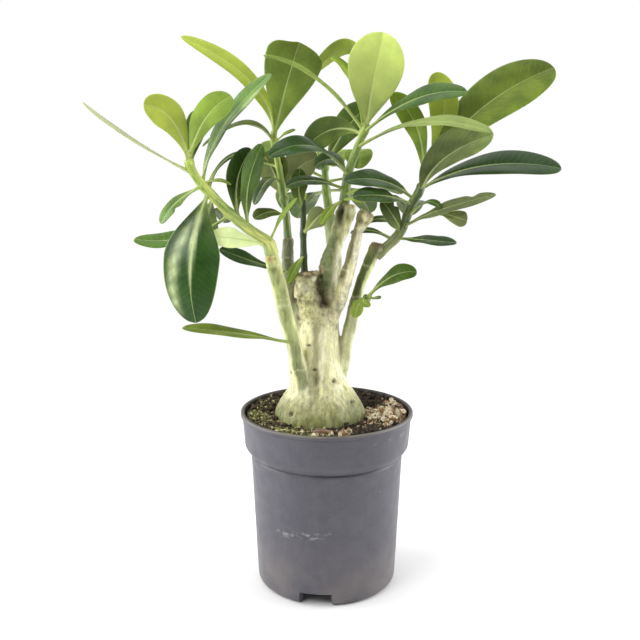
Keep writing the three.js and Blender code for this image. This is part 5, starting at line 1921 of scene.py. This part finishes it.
@dataclass
class Foliage:
    """The leafy shoots and the single leaves."""

    blade: Material
    stem: Material
    broad: LeafShaper
    slim: LeafShaper
    stems: StemShaper
    broad_width: float = 15

    def leaf(self, name: str, leaf: Leaf, chance: Random) -> Piece:
        """Makes one leaf, with more rings where it is broad."""
        shaper = self.broad if leaf.width > self.broad_width else self.slim
        return shaper.shape(name, leaf, chance)

    def build_shoot(self, shoot: Shoot, seed: int) -> None:
        """Makes one shoot: its stem, its leaves and the bud of young leaves at its end."""
        chance = Random(seed)
        roots = tuple(leaf.root for leaf in shoot.leaves)
        stem = self.stems.shape(
            f"{shoot.name}_stem", shoot.stem, shoot.radius, shoot.colours, roots, flare=shoot.flare
        )
        leaves = [self.leaf(f"{shoot.name}_leaf", leaf, chance) for leaf in shoot.leaves]
        leaves += [self.leaf(f"{shoot.name}_bud", leaf, chance) for leaf in self.bud(shoot, chance)]
        blades = joined(f"{shoot.name}_leaves", leaves)
        hand_over(stem, self.stem, shoot.name)
        hand_over(blades, self.blade, shoot.name)

    def bud(self, shoot: Shoot, chance: Random) -> list[Leaf]:
        """The smallest leaves, folded round the growing tip."""
        end = Vector(shoot.stem[-1])
        way = (end - Vector(shoot.stem[-2])).normalized()
        side = way.cross(Vector((0.2, -1, 0.3))).normalized()
        other = way.cross(side)
        leaves = []
        for number in range(3):
            turn = 2.4 * number + chance.uniform(-0.2, 0.2)
            out = math.cos(turn) * side + math.sin(turn) * other
            size = 0.8 * shoot.radius[1]
            root = end - 1.2 * way + 0.2 * size * out
            middle = end + 0.7 * size * way + 0.7 * size * out
            tip = end + 2.0 * size * way + 0.9 * size * out
            rib = (tuple(root), tuple(middle), tuple(tip))
            leaves.append(Leaf(*rib, 2.6, tuple(-out), Tone.LIME, 0.5, 0.0))
        return leaves

    def build_single(self, name: str, leaf: Leaf, seed: int) -> None:
        """Makes a leaf that grows from old wood."""
        hand_over(self.leaf(f"{name}_blade", leaf, Random(seed)), self.blade, name)


@dataclass
class Studio:
    """A plain pale floor, soft lights from both sides and the camera."""

    camera_place: Place = (-4.7, -600, 311.8)
    camera_pitch: float = 11.7
    focal_pixels: float = 895
    frame_pixels: float = 640
    sensor: float = 36
    front_light: float = 0.16
    side_light: float = 1.0
    lamps: tuple[tuple[str, Place, Place, float, float], ...] = (
        ("key_left", (-1000, 60, 420), (0, 0, 190), 800, 9),
        ("key_right", (1000, 90, 400), (0, 0, 190), 750, 9),
        ("top", (0, 200, 1250), (0, 0, 250), 900, 3.5),
        ("front_left", (-380, -430, 560), (-10, -10, 230), 300, 2.0),
    )

    def build(self) -> None:
        """Sets the floor, the lights and the camera."""
        self.floor()
        for lamp in self.lamps:
            self.softbox(*lamp)
        self.sky()
        self.camera()
        bpy.context.scene.view_settings.view_transform = "Standard"
        bpy.context.scene.view_settings.look = "None"

    def floor(self) -> None:
        """A wide pale floor."""
        floor = added("floor", bpy.ops.mesh.primitive_plane_add, size=1.4)
        f = Finish("pale_floor")
        cloud = f.mix(f.noise(2.0, 2), (0.84, 0.84, 0.84), (0.87, 0.87, 0.87))
        floor.data.materials.append(f.surface(Base_Color=cloud, Roughness=0.9))

    def softbox(self, name: str, place: Place, target: Place, size: float, power: float) -> None:
        """Hangs a square light that the camera doesn't see.

        Args:
            name: Its name.
            place: Where it hangs.
            target: What it looks at.
            size: Length of its side.
            power: Its strength in watts.
        """
        light = bpy.data.lights.new(name, "AREA")
        light.shape = "SQUARE"
        light.size = size * MM
        light.energy = power
        lamp = bpy.data.objects.new(name, light)
        bpy.context.scene.collection.objects.link(lamp)
        at, to = Vector(place) * MM, Vector(target) * MM
        lamp.location = at
        lamp.rotation_euler = (to - at).to_track_quat("-Z", "Y").to_euler()
        lamp.visible_camera = False

    def sky(self) -> None:
        """White surroundings, dimmer from where the camera stands."""
        world = bpy.data.worlds.new("studio")
        world.use_nodes = True
        n = Nodes(world.node_tree)
        way = n.node("ShaderNodeTexCoord").outputs["Generated"]
        front = n.step(n.parts(way)[1], -0.85, -0.35, self.front_light, self.side_light)
        strength = n.node("ShaderNodeMix")
        n.put(strength.inputs[0], n.node("ShaderNodeLightPath").outputs["Is Camera Ray"])
        n.put(strength.inputs[2], front)
        n.put(strength.inputs[3], 1.0)
        background = n.tree.nodes["Background"]
        n.put(background.inputs["Color"], (1, 1, 1))
        n.put(background.inputs["Strength"], strength.outputs[0])
        bpy.context.scene.world = world

    def camera(self) -> None:
        """The camera, where the photograph was taken from."""
        data = bpy.data.cameras.new("camera")
        data.sensor_width = self.sensor
        data.lens = self.focal_pixels / self.frame_pixels * self.sensor
        camera = bpy.data.objects.new("camera", data)
        camera.location = Vector(self.camera_place) * MM
        camera.rotation_euler = (math.radians(90 - self.camera_pitch), 0, 0)
        bpy.context.scene.collection.objects.link(camera)
        bpy.context.scene.camera = camera


def main() -> None:
    """Builds the plant round its solids and sets the studio."""
    logging.basicConfig(level=logging.INFO, format="%(message)s")
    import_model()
    pot = Pot()
    pot.dress(pot.build())
    soil = Soil()
    soil.dress(soil.build())
    trunk = Trunk()
    trunk.dress(trunk.build())
    foliage = Foliage(
        LeafBlade().build(),
        GreenStem().build(),
        LeafShaper(Blank(36, 64)),
        LeafShaper(Blank(28, 48)),
        StemShaper(Blank(24, 64)),
    )
    for number, shoot in enumerate(SHOOTS):
        foliage.build_shoot(shoot, 100 + number)
    for number, (name, (slot, leaf)) in enumerate(LOOSE_LEAVES.items()):
        foliage.build_single(name, leaf, 200 + number)
    for shaper in (foliage.broad, foliage.slim, foliage.stems):
        shaper.blank.discard()
    Studio().build()


if __name__ == "__main__":
    main()
